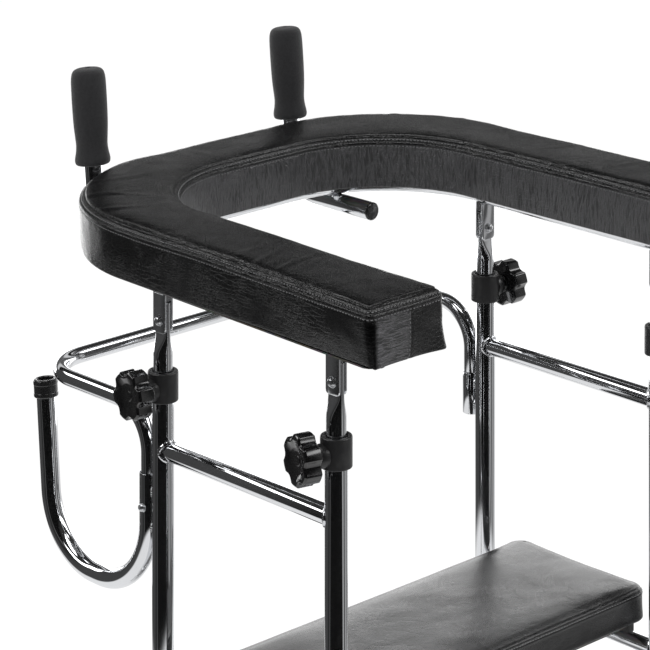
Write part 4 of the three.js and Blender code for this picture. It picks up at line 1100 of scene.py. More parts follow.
def build_forearm_pad():
    crown = 5.6
    edge = PAD_TOP - 3.0                        # where the rolled edge meets the top panel
    profile = band_profile(PAD_LOW, edge, (13.0, 9.0, 64.0), 2.2, 0.8, 3.0)
    fine = Pad(pad_curves, (6, 150, 120, 36, 30), profile, 26.0, PAD_LOW)
    prof_c, row_pos = coarse_profile(profile, 12)
    coarse = Pad(pad_curves, (1, 54, 36, 12, 13), prof_c, 26.0, PAD_LOW)
    rc, tc, bc = inflate("forearm_pad", coarse, 2, 6.0, slack=-0.012)
    # the filling evens out most of the rumpling of the free skin
    rc = 0.15 * rc + 0.85 * calm(rc, 1, 3.0, True)
    tc = 0.15 * tc + 0.85 * calm(tc, 0, 4.0)
    print("pad swell: top", float(tc[..., 2].max()), "side", float(np.abs(rc[..., :2]).max()))
    rows_d, top_d, bottom_d = upsample(fine, coarse, rc, tc, bc, row_pos)
    # the side bulges less than the top, so the plan keeps its size
    rows_d[..., :2] *= 0.45
    top_d[..., :2] *= 0.6
    top_d[..., 2] *= 0.45 * crown / float(np.median(top_d[6:-6, 10:-10, 2]))
    z = fine.rows[..., 2]
    t = (z - PAD_LOW) / (edge - PAD_LOW)
    Q, N = fine.Q, fine.normals
    # the walls draw in towards the board, most on the outside near the arm ends
    outer = np.clip((np.abs(Q[:, 0]) - 290) / 20, 0, 1) * (N[:, 0] * np.sign(Q[:, 0]) > 0.3) + 0.0
    outer = np.where(N[:, 0] * np.sign(Q[:, 0]) > 0, np.clip(N[:, 0] * np.sign(Q[:, 0]) * 1.3, 0, 1), 0)
    front = np.clip(N[:, 1], 0, 1) * (Q[:, 1] > 150) * (np.hypot(Q[:, 0], Q[:, 1]) > 220)
    draw = 2.6 * np.maximum(outer, front) + 5.6 * outer * ease((150 - Q[:, 1]) / 260)
    fall = (1 - t) ** 1.25
    rows = fine.rows + rows_d
    rear = Q[:, 1] < PAD_REAR + 9.5
    rows[..., :2] -= ((np.where(rear, 0.0, draw))[None] * fall)[..., None] * N[None]
    rows[..., 0] -= (np.where(rear, np.sign(Q[:, 0]) * 8.2 * np.clip((np.abs(Q[:, 0]) - 283) / 44, 0, 1), 0.0))[None] * fall
    # loose fabric at the foot of the inner rear corners
    for s in (-1, 1):
        near = np.exp(-((Q[:, 0] - s * 217) ** 2 + (Q[:, 1] - PAD_REAR) ** 2) / 22.0 ** 2)
        amt = 5.6 * near[None] * np.clip((955 - z) / 28, 0, 1) ** 1.2
        rows[..., 0] += amt * (-s) * 0.55
        rows[..., 1] -= amt * 0.95
    # the outer rear corners sharpen towards the foot, and stand out a little to the rear there
    for s in (-1, 1):
        near = np.exp(-((Q[:, 0] - s * 325) ** 2 + (Q[:, 1] - PAD_REAR) ** 2) / 17.0 ** 2)
        rows[..., 1] -= 2.4 * near[None] * np.clip((965 - z) / 50, 0, 1) ** 1.1
        cx, cy = s * (327 - 9.0), PAD_REAR + 9.0
        a = np.degrees(np.arctan2(Q[:, 1] - cy, (Q[:, 0] - cx) * s))
        near = (np.abs(a + 45) <= 45.5) & (np.hypot(Q[:, 0] - cx, Q[:, 1] - cy) < 9.6)
        w = np.where(near, 9.0 * (1 / np.cos(np.radians(np.clip(45 - np.abs(a + 45), 0, 45))) - 1), 0.0)
        rows[..., :2] += (0.9 * w[None] * ease(1.3 * (1 - t)))[..., None] * N[None]
    # carry the bottom panel with the lowest row
    top = fine.top + top_d
    bottom = fine.bottom + bottom_d
    L = len(Q)
    S, U = top.shape[:2]
    # height of the crown settles to the wanted figure
    d_edge = np.minimum.reduce([np.broadcast_to(np.arange(U)[None], (S, U)), np.broadcast_to(np.arange(U)[::-1][None], (S, U)), np.broadcast_to(np.arange(S)[:, None], (S, U)) * 0.9, np.broadcast_to(np.arange(S)[::-1][:, None], (S, U)) * 0.9]) * 2.9
    # the shoulder carries on from the roll and dies away over the first 20 mm
    top[..., 2] += 0.55 * crown * (1 - np.exp(-d_edge / 9.0))
    # slow unevenness, and the dents and folds of a used pad
    und = smooth_noise(top, 95.0, 5) * 0.42 + smooth_noise(top, 34.0, 9, 2) * 0.10
    top[..., 2] += und * ease(d_edge / 14.0)
    for (cx, cy, ang, ln, wd, dp) in WRINKLES:
        dx, dy = top[..., 0] - cx, top[..., 1] - cy
        ca, sa = math.cos(rad(ang)), math.sin(rad(ang))
        al, ac = dx * ca + dy * sa, -dx * sa + dy * ca
        ac = ac + 0.0025 * al ** 2 * np.sign(ang)
        top[..., 2] += dp * np.exp(-(al / ln) ** 2) * ((1 - (ac / wd) ** 2) * np.exp(-0.5 * (ac / wd) ** 2)) * ease(d_edge / 9.0)
    # side wall unevenness
    und = smooth_noise(rows, 70.0, 21) * 0.5 + smooth_noise(rows, 22.0, 22, 2) * 0.13
    rows[..., :2] += (und * np.sin(np.clip(t, 0, 1) * math.pi) ** 0.5)[..., None] * N[None]
    # seams on the band: the joining seam just under the panel and the top stitching below it
    d = path_length(profile)
    zp = np.array([q[1] for q in profile])
    seam1 = float(np.interp(edge - 3.4, zp, d))
    seam2 = seam1 - 7.0
    puck = 1 + 0.25 * np.sin(np.arange(L) * 2 * math.pi / 5)[None]
    prof = -1.05 * np.exp(-((d - seam1) / 0.95) ** 2) - 0.55 * np.exp(-((d - seam2) / 0.95) ** 2) + 0.45 * np.exp(-((d - (seam1 + seam2) / 2) / 2.4) ** 2) + 0.40 * np.exp(-((d - seam1 - 3.2) / 2.2) ** 2)
    nrm = surface_normals(rows, True)
    if np.mean(np.sum(nrm[..., :2] * N[None], -1)) < 0:
        nrm = -nrm
    rows = rows + nrm * (prof[:, None] * puck)[..., None]
    # upright seam in the middle of each arm end
    ends = np.where((np.abs(Q[:, 1] - PAD_REAR) < 0.5))[0]
    v_seams = []
    for s in (-1, 1):
        x0 = s * 268.0
        g = np.exp(-((Q[:, 0] - x0) / 1.1) ** 2) * (np.abs(Q[:, 1] - PAD_REAR) < 0.5)
        pf = np.exp(-((Q[:, 0] - x0) / 5.0) ** 2) * (np.abs(Q[:, 1] - PAD_REAR) < 0.5)
        up = ((d > 4) & (d < seam2))[:, None]
        rows[..., 1] -= (0.5 * pf - 1.2 * g)[None] * up
        v_seams.append(int(np.argmin(np.abs(Q[:, 0] - x0) + 100 * (np.abs(Q[:, 1] - PAD_REAR) > 0.5))))
    # the inside of the U: one upright joint in the band, left of the middle
    # edges of the panels meet the band
    order = [(0, j) for j in range(U)] + [(i, U - 1) for i in range(1, S)] + [(S - 1, j) for j in range(U - 2, -1, -1)] + [(i, 0) for i in range(S - 2, 0, -1)]
    for g, row in ((top, rows[-1]), (bottom, rows[0])):
        ii, jj = np.array([o[0] for o in order]), np.array([o[1] for o in order])
        delta = np.zeros_like(g)
        cnt = np.zeros(g.shape[:2])
        diff = row - g[ii, jj]
        # spread the edge's shift a little way into the panel
        edge_shift = np.zeros_like(g)
        edge_shift[ii, jj] = diff
        for k, reach in ((0, 5), ):
            for i in range(1, 6):
                w = ease(1 - i / 6.0)
                edge_shift[1:-1, i] += w * edge_shift[1:-1, 0] * (i < U // 2)
                edge_shift[1:-1, U - 1 - i] += w * edge_shift[1:-1, U - 1]
                edge_shift[i, 6:-6] += w * edge_shift[0, 6:-6]
                edge_shift[S - 1 - i, 6:-6] += w * edge_shift[S - 1, 6:-6]
        g += edge_shift
        g[ii, jj] = row
    over = top[..., 2] - (PAD_TOP + 2.4)
    top[..., 2] = np.where(over > 0, PAD_TOP + 2.4 + 0.9 * np.tanh(over / 0.9), top[..., 2])
    verts, faces, _, _ = fine.assemble(rows, top, bottom)
    sh = Shell().add(verts, faces)
    piece("forearm_pad_cover", sh, ["pad"], "pad_lift", ["forearm_pad"], 60.0)
    # thread
    th = Shell()
    nrm = surface_normals(rows, True)
    if np.mean(np.sum(nrm[..., :2] * N[None], -1)) < 0:
        nrm = -nrm
    for k, (dd, pitch, ln) in enumerate(((seam1 + 1.15, 4.6, 3.3), (seam2, 4.6, 3.2))):
        i = int(np.argmin(np.abs(d - dd)))
        path = np.vstack([rows[i], rows[i][:1]])
        nn = np.vstack([nrm[i], nrm[i][:1]])
        th.take(stitches(path, nn, pitch, ln, 0.50, 0.34, seed=3 + k))
    lo, hi = int(np.argmin(np.abs(d - 6.0))), int(np.argmin(np.abs(d - seam2 + 1.5)))
    for j in v_seams:
        th.take(stitches(rows[lo:hi, j] + A(0, -0.05, 0), nrm[lo:hi, j], 4.6, 3.3, 0.42, 0.2, seed=8 + j % 5))
    piece("forearm_pad_thread", th, ["thread"], "pad_lift", (), 60.0)


# centre x, y, direction in degrees, half length, width, height of each fold on the pad's top
WRINKLES = [
    (-283, -95, 12, 26, 4.2, 0.75), (-288, -60, 18, 30, 4.6, 0.60), (-279, -28, 8, 24, 4.4, 0.45), (-262, -110, 25, 18, 3.6, 0.35),
    (-292, 210, -40, 34, 6.0, 0.9), (-262, 262, -30, 40, 6.5, 0.9), (-214, 300, -18, 44, 6.5, 0.7), (-240, 240, -55, 30, 5.0, 0.5),
    (285, 205, 48, 32, 6.0, 0.7), (232, 288, 28, 40, 6.0, 0.7), (270, -80, -12, 28, 4.5, 0.5), (278, 30, -20, 30, 5.0, 0.45), (40, 318, 80, 24, 6.0, 0.4), (-60, 322, 95, 22, 6.0, 0.4),
]


def build_seat():
    crown = 2.8
    edge = SEAT_HIGH - 0.2
    profile = band_profile(SEAT_LOW, edge, (9.0, 7.0, 70.0), 2.6, 0.8, 2.6)
    fine = Pad(seat_curves, (9, 170, 58), profile, 40.0, SEAT_LOW)
    prof_c, row_pos = coarse_profile(profile, 9)
    coarse = Pad(seat_curves, (3, 66, 22), prof_c, 40.0, SEAT_LOW)
    rc, tc, bc = inflate("seat_pad", coarse, 2, 5.0, slack=-0.006)
    rc = 0.2 * rc + 0.8 * calm(rc, 1, 3.0, True)
    tc = 0.1 * tc + 0.9 * calm(calm(tc, 0, 3.0), 1, 2.0)
    print("seat swell: top", float(tc[..., 2].max()), "side", float(np.abs(rc[..., :2]).max()))
    rows_d, top_d, bottom_d = upsample(fine, coarse, rc, tc, bc, row_pos)
    rows_d[..., :2] *= 0.4
    top_d[..., 2] *= crown / float(np.median(top_d[20:-20, 15:-15, 2]))
    Q, N = fine.Q, fine.normals
    z = fine.rows[..., 2]
    t = (z - SEAT_LOW) / (edge - SEAT_LOW)
    rows = fine.rows + rows_d
    rows[..., :2] -= (1.2 * (1 - t) ** 1.3)[..., None] * N[None]
    top, bottom = fine.top + top_d, fine.bottom + bottom_d
    S, U = top.shape[:2]
    L = len(Q)
    ii0 = np.broadcast_to(np.arange(S)[:, None], (S, U))
    jj0 = np.broadcast_to(np.arange(U)[None], (S, U))
    d_edge = np.minimum.reduce([ii0, S - 1 - ii0, jj0, U - 1 - jj0]) * 3.0
    top[..., 2] += (smooth_noise(top, 130.0, 31) * 0.35 + smooth_noise(top, 42.0, 32, 2) * 0.07) * ease(d_edge / 20)
    und = smooth_noise(rows, 80.0, 33) * 0.3 + smooth_noise(rows, 24.0, 34, 2) * 0.08
    rows[..., :2] += (und * np.sin(np.clip(t, 0, 1) * math.pi) ** 0.5)[..., None] * N[None]
    # pleats gathered at the corners' lower edge
    ang = np.arctan2(N[:, 1], N[:, 0])
    corner = np.clip(np.minimum(np.abs(N[:, 0]), np.abs(N[:, 1])) / 0.5, 0, 1)
    rows[..., :2] += (0.45 * np.cos(ang * 36)[None] * corner[None] * (1 - t) ** 2)[..., None] * N[None]
    d = path_length(profile)
    seam = d[-1] - 6.0
    prof = -0.75 * np.exp(-((d - seam) / 0.9) ** 2) + 0.35 * np.exp(-((d - seam + 3.0) / 2.0) ** 2)
    nrm = surface_normals(rows, True)
    if np.mean(np.sum(nrm[..., :2] * N[None], -1)) < 0:
        nrm = -nrm
    rows = rows + nrm * prof[:, None, None]
    order = [(0, j) for j in range(U)] + [(i, U - 1) for i in range(1, S)] + [(S - 1, j) for j in range(U - 2, -1, -1)] + [(i, 0) for i in range(S - 2, 0, -1)]
    for g, row in ((top, rows[-1]), (bottom, rows[0])):
        ii, jj = np.array([o[0] for o in order]), np.array([o[1] for o in order])
        sh = np.zeros_like(g)
        sh[ii, jj] = row - g[ii, jj]
        for i in range(1, 6):
            w = ease(1 - i / 6.0)
            sh[1:-1, i] += w * sh[1:-1, 0]
            sh[1:-1, U - 1 - i] += w * sh[1:-1, U - 1]
            sh[i, 6:-6] += w * sh[0, 6:-6]
            sh[S - 1 - i, 6:-6] += w * sh[S - 1, 6:-6]
        g += sh
        g[ii, jj] = row
    verts, faces, _, _ = fine.assemble(rows, top, bottom)
    piece("seat_cover", Shell().add(verts, faces), ["seat"], "seat", ["seat_pad"], 60.0)
    nrm = surface_normals(rows, True)
    if np.mean(np.sum(nrm[..., :2] * N[None], -1)) < 0:
        nrm = -nrm
    i = int(np.argmin(np.abs(d - seam + 1.1)))
    th = stitches(np.vstack([rows[i], rows[i][:1]]), np.vstack([nrm[i], nrm[i][:1]]), 4.4, 3.1, 0.38, 0.15, seed=17)
    piece("seat_thread", th, ["thread"], "seat", (), 60.0)


build_forearm_pad()
build_seat()

# boards: the CAD shapes, with staples and softened edges of their own
board = plate(np.vstack([join(p) if k != 2 else join(p) for k, p in enumerate([])]) if False else round_rect(-254, 254, -112, 86, 22, 8), SEAT_LOW - 0.25 - 454.9, A(0, 0, 454.9), (1, 0, 0), (0, 1, 0), 0.9, 3)
for X in (-170, 170):
    kn = lathe(soften([(4.3, -20), (7.5, -20), (7.5, 20), (4.3, 20), (4.3, -20)], 0.5, 3), A(X, HINGE_Y, HINGE_Z), (1, 0, 0), 48, closed=True, mat=1)
    board.take(kn)
    board.take(plate([(-20, -2), (20, -2), (20, -34), (16, -38), (-16, -38), (-20, -34)][::-1], 1.6, A(X, HINGE_Y, 453.35), (1, 0, 0), (0, 1, 0), 0.3, 2, mat=1))
    for dx, dy in ((-12, -14), (12, -14), (0, -29)):
        board.take(lathe(soften([(0, 0.2), (3.8, 0.2), (3.6, -0.8), (2.2, -1.7), (0.9, -1.9), (0.8, -1.2), (0, -1.2)], 0.15, 2), A(X + dx, HINGE_Y + dy, 453.35), (0, 0, 1), 28, mat=1))
piece("seat_board_panel", board, ["board", "zinc"], "seat", ["seat_board"], 40.0)
rod = lathe(soften([(0, -258), (4, -258), (4, 258), (0, 258)], 0.4, 2), A(0, HINGE_Y, HINGE_Z), (1, 0, 0), 40)
for s in (-1, 1):
    pts = [(-8, 436.5)] + [(8, 436.5), (8, 449.5)] + [(8 * math.cos(rad(a)), HINGE_Z - 1 + 7 * math.sin(rad(a))) for a in (15, 40, 65, 90, 115, 140, 165)] + [(-8, 449.5)]
    rod.take(plate(pts, 10.0, A(257 if s > 0 else -267, HINGE_Y, 0), (0, 1, 0), (0, 0, 1), 0.5, 2))
piece("seat_hinge_rod_steel", rod, ["zinc"], "frame", ["seat_hinge_rod"], 40.0)

# ---- casters ---------------------------------------------------------------------------------------------------------
def tread(t, r, h):
    """Shallow cross grooves in the running face."""
    if r < 47.0:
        return r
    p = (t / (2 * math.pi) * 60.0) % 1.0
    return r - 0.8 * (1.0 if p < 0.22 else 0.0) * (1.0 if abs(abs(h) - 5.5) < 4.0 else 0.0)


for c in CORNERS:
    cid, x, y = c["id"], c["x"], math.copysign(CASTER_Y, c["y"])
    rear = c["y"] < 0
    P = lambda dx, dy, z: A(x + dx, y + dy, z)
    end = -61.0 if rear else -48.0
    side_pts = [(end, 106.0), (end, 97.0 if rear else 92.0), (-47, 46), (-45.2, 41.2), (-41.5, 38.2), (-37, 37), (-33, 37), (-28.5, 38.2), (-24.6, 41.4), (10.6, 93.5), (12, 97.5), (12, 106.0)]
    fork = Shell()
    for X0 in (-17.0, 14.5):
        fork.take(plate(side_pts, 2.5, P(X0, 0, 0), (0, 1, 0), (0, 0, 1), 0.5, 2))
    crown_pts = [(-17, end + 0.3), (17, end + 0.3), (17, 12), (-17, 12)] if False else [(-17, -40), (17, -40), (17, 12), (-17, 12)]
    fork.take(plate(crown_pts, 3.5, P(0, 0, 104), (1, 0, 0), (0, 1, 0), 0.7, 3))
    fork.take(lathe(soften([(0, 105), (13, 105), (13, 108.0), (11.8, 109.2), (9.5, 110.4), (0, 110.7)], 0.8, 4), P(0, 0, 0), (0, 0, 1), 56))
    fork.take(lathe(soften([(0, 109), (5, 109), (5, 149.6), (3.8, 151), (0, 151)], 0.5, 3), P(0, 0, 0), (0, 0, 1), 32))
    fork.take(lathe(soften([(0, -19), (4, -19), (4, 19), (0, 19)], 0.3, 2), P(0, -TRAIL, WHEEL_R), (1, 0, 0), 32))
    for q in (-1, 1):
        fork.take(lathe(soften([(0, 16.9), (8.6, 16.9), (8.6, 17.7), (6.9, 17.8), (6.9, 20.0), (5.4, 20.7), (3.6, 20.7), (3.6, 21.6), (0, 21.8)] if q < 0 else
                               [(0, 16.9), (8.6, 16.9), (8.6, 17.7), (6.9, 17.8), (6.9, 20.2), (6.0, 20.9), (0, 21.0)], 0.25, 2), P(0, -TRAIL, WHEEL_R), (q, 0, 0), 48,
                        shape=lambda t, r, h: r * (math.cos(math.pi / 6) / math.cos((t % (math.pi / 3)) - math.pi / 6) if 17.75 < h < 20.8 and 5.0 < r < 7.5 else 1.0)))
    if rear:
        fork.take(lathe(soften([(0, -18.2), (4.6, -18.2), (4.6, -17.0), (3, -16.9), (3, 16.9), (4.6, 17.0), (4.6, 18.2), (0, 18.2)], 0.3, 2), P(0, -53, 103.5), (1, 0, 0), 32))
    piece(f"caster_fork_steel_{cid}", fork, ["zinc"], f"caster_{cid}", [f"caster_fork_{cid}"], 40.0)

    # wheel: moulded rubber tyre on a ribbed hub
    ty = soften([(34.2, -11.2), (36.5, -12.0), (44.6, -12.0), (48.6, -10.2), (49.9, -7.6), (50.0, -3.4), (49.3, -2.9), (49.3, -1.9), (50.0, -1.4), (50.0, 1.4), (49.3, 1.9), (49.3, 2.9), (50.0, 3.4), (49.9, 7.6), (48.6, 10.2), (44.6, 12.0), (36.5, 12.0), (34.2, 11.2), (34.2, -11.2)], 0.5, 2)
    wheel = lathe(ty, P(0, -TRAIL, WHEEL_R), (1, 0, 0), 360, closed=True, shape=tread)
    hub = soften([(4.15, -13.5), (9.2, -13.5), (10.0, -12.8), (10.4, -6.0), (11.2, -5.2), (31.5, -5.2), (32.6, -6.0), (33.0, -11.4), (34.3, -11.6), (34.6, -11.0), (34.6, 11.0), (34.3, 11.6), (33.0, 11.4), (32.6, 6.0), (31.5, 5.2), (11.2, 5.2), (10.4, 6.0), (10.0, 12.8), (9.2, 13.5), (4.15, 13.5), (4.15, -13.5)], 0.4, 2)
    wheel.take(lathe(hub, P(0, -TRAIL, WHEEL_R), (1, 0, 0), 72, closed=True, mat=1))
    for k in range(6):
        R = turn((1, 0, 0), k * math.pi / 3 + 0.26)
        rib = plate([(9.6, -9.8), (33.2, -8.6), (33.2, 8.6), (9.6, 9.8)], 2.6, A(0, 0, 0), (0, 1, 0), (1, 0, 0), 0.5, 2, mat=1)
        v = np.vstack(rib.v) + A(0, 0, 1.3)
        rib.v = [v @ R.T + P(0, -TRAIL, WHEEL_R)]
        wheel.take(rib)
    piece(f"caster_wheel_moulding_{cid}", wheel, ["tread", "hub"], f"wheel_{cid}", [f"caster_wheel_{cid}"], 40.0)

    if rear:
        side = "left" if x < 0 else "right"
        ped = plate([(-13.1, -92), (13.1, -92), (13.1, -56), (-13.1, -56)], 4.4, P(0, 0, 102.5), (1, 0, 0), (0, 1, 0), 1.3, 4)
        for k in range(5):
            ped.take(plate([(-10.5, -89 + k * 5.2), (10.5, -89 + k * 5.2), (10.5, -87 + k * 5.2), (-10.5, -87 + k * 5.2)], 1.1, P(0, 0, 106.3), (1, 0, 0), (0, 1, 0), 0.4, 2))
        ped.take(lathe(soften([(3.15, -13.1), (5.3, -13.1), (5.3, 13.1), (3.15, 13.1), (3.15, -13.1)], 0.5, 3), P(0, -53, 103.5), (1, 0, 0), 40, closed=True))
        piece(f"brake_pedal_moulding_{side}", ped, ["collar"], f"pedal_{side}", [f"brake_pedal_{side}"], 40.0)

# CAD nodes that keep their own shape take the procedural materials
nodes = frame["nodes"]
for nm, key in (("pad_board", "board"),):
    ob = nodes[nm]
    ob.data.materials.clear()
    ob.data.materials.append(MAT[key])

# ---- camera ----------------------------------------------------------------------------------------------------------
THETA = 44.22
CAM = (-2.459, -2.5295, 1.962)
cam_data = bpy.data.cameras.new("camera")
cam = bpy.data.objects.new("camera", cam_data)
bpy.context.scene.collection.objects.link(cam)
cam.location = CAM
cam.rotation_euler = (math.radians(90), 0, math.radians(-THETA))
cam_data.sensor_width = 36.0
cam_data.lens = 3021.0 * 36.0 / 650.0
cam_data.clip_start, cam_data.clip_end = 0.1, 400.0
bpy.context.scene.camera = cam


def driven(target, prop, expression, index=-1):
    d = (target.driver_add(prop, index) if index >= 0 else target.driver_add(prop)).driver
    d.type = "SCRIPTED"
    for name, ch in (("cx", "LOC_X"), ("cy", "LOC_Y"), ("cz", "LOC_Z")):
        v = d.variables.new()
        v.name, v.type = name, "TRANSFORMS"
        v.targets[0].id, v.targets[0].transform_type, v.targets[0].transform_space = cam, ch, "WORLD_SPACE"
    d.expression = expression


# the lens is shifted only where the camera stands at its own place
HERE = f"abs(cx - {CAM[0]}) < 0.01 and abs(cy - {CAM[1]}) < 0.01"
driven(cam_data, "shift_x", f"{-(400.0 - 325.0) / 650.0:.5f} if {HERE} else 0.0")
driven(cam_data, "shift_y", f"{-(639.0 + 325.0) / 650.0:.5f} if {HERE} else 0.0")

# ---- studio ----------------------------------------------------------------------------------------------------------
# A white sweep. Mirror-like surfaces also see the dark half of the room that stands behind the camera, with two strip
# lights in it, and that half turns with the camera.
sc = bpy.context.scene
sc.view_settings.view_transform = "Standard"
sc.view_settings.look = "None"
world = bpy.data.worlds.new("studio")
sc.world = world
world.use_nodes = True


def studio_nodes(tree, direction, away=None):
    """Brightness the room shows along a direction; away turns the floor by place instead of by direction."""
    N, Lk = tree.nodes, tree.links

    def mth(op, *args, clamp=False):
        n = N.new("ShaderNodeMath")
        n.operation = op
        n.use_clamp = clamp
        for i, v in enumerate(args):
            if isinstance(v, bpy.types.NodeSocket):
                Lk.new(v, n.inputs[i])
            else:
                n.inputs[i].default_value = v
        return n.outputs[0]

    def smooth(v, lo, hi):
        n = N.new("ShaderNodeMapRange")
        n.interpolation_type = "SMOOTHSTEP"
        Lk.new(v, n.inputs[0])
        n.inputs[1].default_value, n.inputs[2].default_value = lo, hi
        n.inputs[3].default_value, n.inputs[4].default_value = 0.0, 1.0
        return n.outputs[0]

    sep = N.new("ShaderNodeSeparateXYZ")
    Lk.new(direction, sep.inputs[0])
    dx, dy, dz = sep.outputs
    vx, vy = N.new("ShaderNodeValue"), N.new("ShaderNodeValue")
    vx.outputs[0].default_value, vy.outputs[0].default_value = CAM[0], CAM[1]
    driven(vx.outputs[0], "default_value", "cx / sqrt(cx * cx + cy * cy + 0.0001)")
    driven(vy.outputs[0], "default_value", "cy / sqrt(cx * cx + cy * cy + 0.0001)")
    ln = mth("SQRT", mth("ADD", mth("ADD", mth("MULTIPLY", dx, dx), mth("MULTIPLY", dy, dy)), 1e-6))
    hx, hy = mth("DIVIDE", dx, ln), mth("DIVIDE", dy, ln)
    toward = mth("ADD", mth("MULTIPLY", hx, vx.outputs[0]), mth("MULTIPLY", hy, vy.outputs[0]))     # 1 towards the camera
    lateral = mth("SUBTRACT", mth("MULTIPLY", hx, vy.outputs[0]), mth("MULTIPLY", hy, vx.outputs[0]))
    return mth, smooth, toward, lateral, dz, ln


def room_ring(tree, toward, lateral, back):
    """Brightness around the room at eye height: back behind the object, dark on the camera's side, a window to the right."""
    turn_n = tree.nodes.new("ShaderNodeMath")
    turn_n.operation = "ARCTAN2"
    flip = tree.nodes.new("ShaderNodeMath")
    flip.operation = "MULTIPLY"
    tree.links.new(lateral, flip.inputs[0])
    flip.inputs[1].default_value = -1.0
    tree.links.new(flip.outputs[0], turn_n.inputs[0])
    tree.links.new(toward, turn_n.inputs[1])
    part = tree.nodes.new("ShaderNodeMapRange")
    tree.links.new(turn_n.outputs[0], part.inputs[0])
    part.inputs[1].default_value, part.inputs[2].default_value = -math.pi, math.pi
    part.inputs[3].default_value, part.inputs[4].default_value = 0.0, 1.0
    ring = tree.nodes.new("ShaderNodeValToRGB")
    tree.links.new(part.outputs[0], ring.inputs[0])
    stops = ((0.0, back), (0.055, back * 0.9), (0.090, back * 0.35), (0.125, 0.05), (0.25, 0.06), (0.325, 0.010), (0.333, 0.10), (0.342, 0.10), (0.352, 0.004), (0.50, 0.003),
             (0.658, 0.006), (0.668, 0.42), (0.694, 0.42), (0.706, 0.05), (0.735, 0.08), (0.745, 0.40), (0.775, 0.40), (0.79, 0.12), (0.825, 0.20), (0.85, 0.75), (0.925, 0.75), (0.95, back * 0.9), (1.0, back))
    e = ring.color_ramp.elements
    while len(e) > 1:
        e.remove(e[-1])
    for i, (p, v) in enumerate(stops):
        el = e[0] if i == 0 else e.new(p)
        el.position, el.color = p, (v, v, v, 1.0)
    return ring.outputs[0]


wt = world.node_tree
wt.nodes.clear()
geo = wt.nodes.new("ShaderNodeTexCoord")
mth, smooth, toward, lateral, dz, ln = studio_nodes(wt, geo.outputs["Generated"])
WHITE = 1.06
low_room = room_ring(wt, toward, lateral, 0.03)
tilt = mth("MULTIPLY", toward, ln)                                   # how far a direction leans towards the camera
lamp = mth("MULTIPLY", mth("MULTIPLY", smooth(dz, 0.865, 0.895), mth("SUBTRACT", 1.0, smooth(dz, 0.965, 0.985))), smooth(tilt, 0.02, 0.14))
fade = mth("SUBTRACT", 1.0, smooth(dz, 0.50, 0.72))
room = mth("ADD", mth("MULTIPLY", low_room, fade), mth("MULTIPLY", lamp, 6.0))
room = mth("ADD", room, mth("MULTIPLY", mth("SUBTRACT", 1.0, fade), 0.03))
wide = mth("ABSOLUTE", mth("MULTIPLY", lateral, ln))                  # tall lights on both sides, above the object
sides = mth("MULTIPLY", smooth(wide, 0.60, 0.68), mth("MULTIPLY", smooth(dz, 0.50, 0.56), mth("SUBTRACT", 1.0, smooth(dz, 0.66, 0.72))))
room = mth("ADD", room, mth("MULTIPLY", sides, 5.0))
lp = wt.nodes.new("ShaderNodeLightPath")
glossy = lp.outputs["Is Glossy Ray"]
strength = mth("ADD", mth("MULTIPLY", glossy, room), mth("MULTIPLY", mth("SUBTRACT", 1.0, glossy), 1.0))
bg = wt.nodes.new("ShaderNodeBackground")
bg.inputs[0].default_value = (1.0, 1.0, 1.0, 1.0)
wt.links.new(mth("MULTIPLY", strength, WHITE), bg.inputs[1])
wo = wt.nodes.new("ShaderNodeOutputWorld")
wt.links.new(bg.outputs[0], wo.inputs[0])

# floor: pale, fading into the sweep
fl = bpy.data.meshes.new("floor")
fl.from_pydata([(-60, -60, 0), (60, -60, 0), (60, 60, 0), (-60, 60, 0)], [], [(0, 1, 2, 3)])
floor = bpy.data.objects.new("floor", fl)
sc.collection.objects.link(floor)
fm = bpy.data.materials.new("pale_floor")
fm.use_nodes = True
ft = fm.node_tree
ft.nodes.clear()
pos = ft.nodes.new("ShaderNodeNewGeometry").outputs["Position"]
mth, smooth, toward, lateral, dz, ln = studio_nodes(ft, pos)
diff = ft.nodes.new("ShaderNodeBsdfDiffuse")
diff.inputs[0].default_value = (0.955, 0.955, 0.955, 1.0)
em = ft.nodes.new("ShaderNodeEmission")
em.inputs[1].default_value = 1.02
shine = ft.nodes.new("ShaderNodeEmission")
ring_far = room_ring(ft, toward, lateral, 0.75)
far = smooth(ln, 1.20, 1.55)
under = mth("ADD", 0.18, mth("MULTIPLY", smooth(ln, 0.12, 0.42), 0.72))
wt2 = mth("ADD", mth("MULTIPLY", mth("SUBTRACT", 1.0, far), under), mth("MULTIPLY", far, ring_far))
ft.links.new(wt2, shine.inputs[1])
lp = ft.nodes.new("ShaderNodeLightPath")
m1, m2 = ft.nodes.new("ShaderNodeMixShader"), ft.nodes.new("ShaderNodeMixShader")
ft.links.new(smooth(ln, 0.9, 2.2), m1.inputs[0])
ft.links.new(diff.outputs[0], m1.inputs[1])
ft.links.new(em.outputs[0], m1.inputs[2])
ft.links.new(lp.outputs["Is Glossy Ray"], m2.inputs[0])
ft.links.new(m1.outputs[0], m2.inputs[1])
ft.links.new(shine.outputs[0], m2.inputs[2])
fo = ft.nodes.new("ShaderNodeOutputMaterial")
ft.links.new(m2.outputs[0], fo.inputs[0])
fl.materials.append(fm)


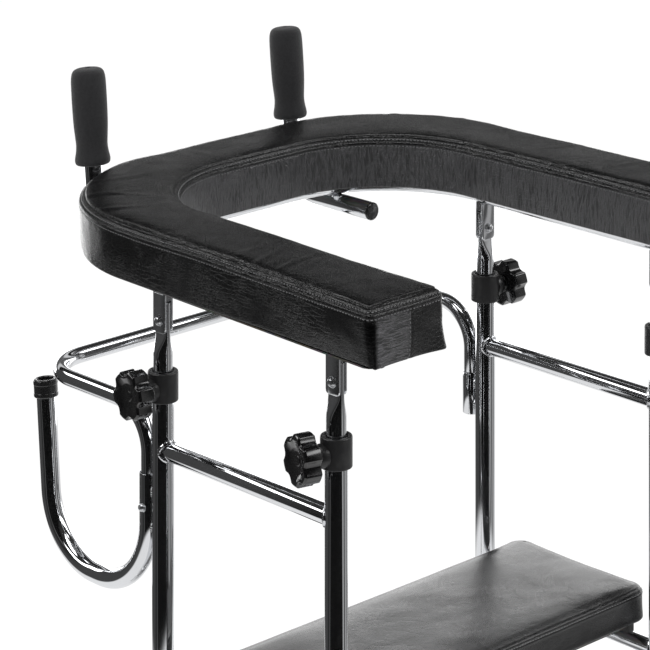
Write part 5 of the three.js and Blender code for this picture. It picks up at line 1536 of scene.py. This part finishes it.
def softbox(name, loc, size, power, target=(0, 0, 0.7)):
    ld = bpy.data.lights.new(name, "AREA")
    ld.shape, ld.size, ld.size_y, ld.energy = "RECTANGLE", size[0], size[1], power
    ob = bpy.data.objects.new(name, ld)
    sc.collection.objects.link(ob)
    ob.location = loc
    ob.rotation_euler = (Vector(target) - Vector(loc)).to_track_quat("-Z", "Y").to_euler()
    ob.visible_glossy = False
    ob.visible_camera = False
    return ob


softbox("overhead", (0.3, 0.3, 3.2), (2.4, 2.4), 14.0)

# a low white card behind the object, seen only in reflections; it turns with the camera
cm = bpy.data.meshes.new("reflector_card")
cm.from_pydata([(-1.0, -1.4, 0.50), (-1.0, 1.4, 0.50), (-1.0, 1.4, 1.45), (-1.0, -1.4, 1.45)], [], [(0, 1, 2, 3)])
card = bpy.data.objects.new("reflector_card", cm)
sc.collection.objects.link(card)
card.visible_camera = card.visible_diffuse = card.visible_shadow = card.visible_transmission = False
driven(card, "rotation_euler", "atan2(cy, cx)", 2)
km = bpy.data.materials.new("card_glow")
km.use_nodes = True
kt = km.node_tree
kt.nodes.clear()
kpos = kt.nodes.new("ShaderNodeNewGeometry").outputs["Position"]
ksep = kt.nodes.new("ShaderNodeSeparateXYZ")
kt.links.new(kpos, ksep.inputs[0])
kramp = kt.nodes.new("ShaderNodeValToRGB")
kscale = kt.nodes.new("ShaderNodeMapRange")
kt.links.new(ksep.outputs[2], kscale.inputs[0])
kscale.inputs[1].default_value, kscale.inputs[2].default_value = 0.5, 1.5
kt.links.new(kscale.outputs[0], kramp.inputs[0])
ke = kramp.color_ramp.elements
while len(ke) > 1:
    ke.remove(ke[-1])
for i, (p, v) in enumerate(((0.0, 1.0), (0.40, 1.0), (0.46, 0.04), (0.62, 0.04), (0.66, 0.24), (0.775, 0.24), (0.80, 0.0))):
    el = ke[0] if i == 0 else ke.new(p)
    el.position, el.color = p, (v, v, v, 1.0)
klift = kt.nodes.new("ShaderNodeMath")
klift.operation = "MULTIPLY"
kt.links.new(kramp.outputs[0], klift.inputs[0])
klift.inputs[1].default_value = 2.8
kem = kt.nodes.new("ShaderNodeEmission")
kt.links.new(klift.outputs[0], kem.inputs[1])
kout = kt.nodes.new("ShaderNodeOutputMaterial")
kt.links.new(kem.outputs[0], kout.inputs[0])
cm.materials.append(km)
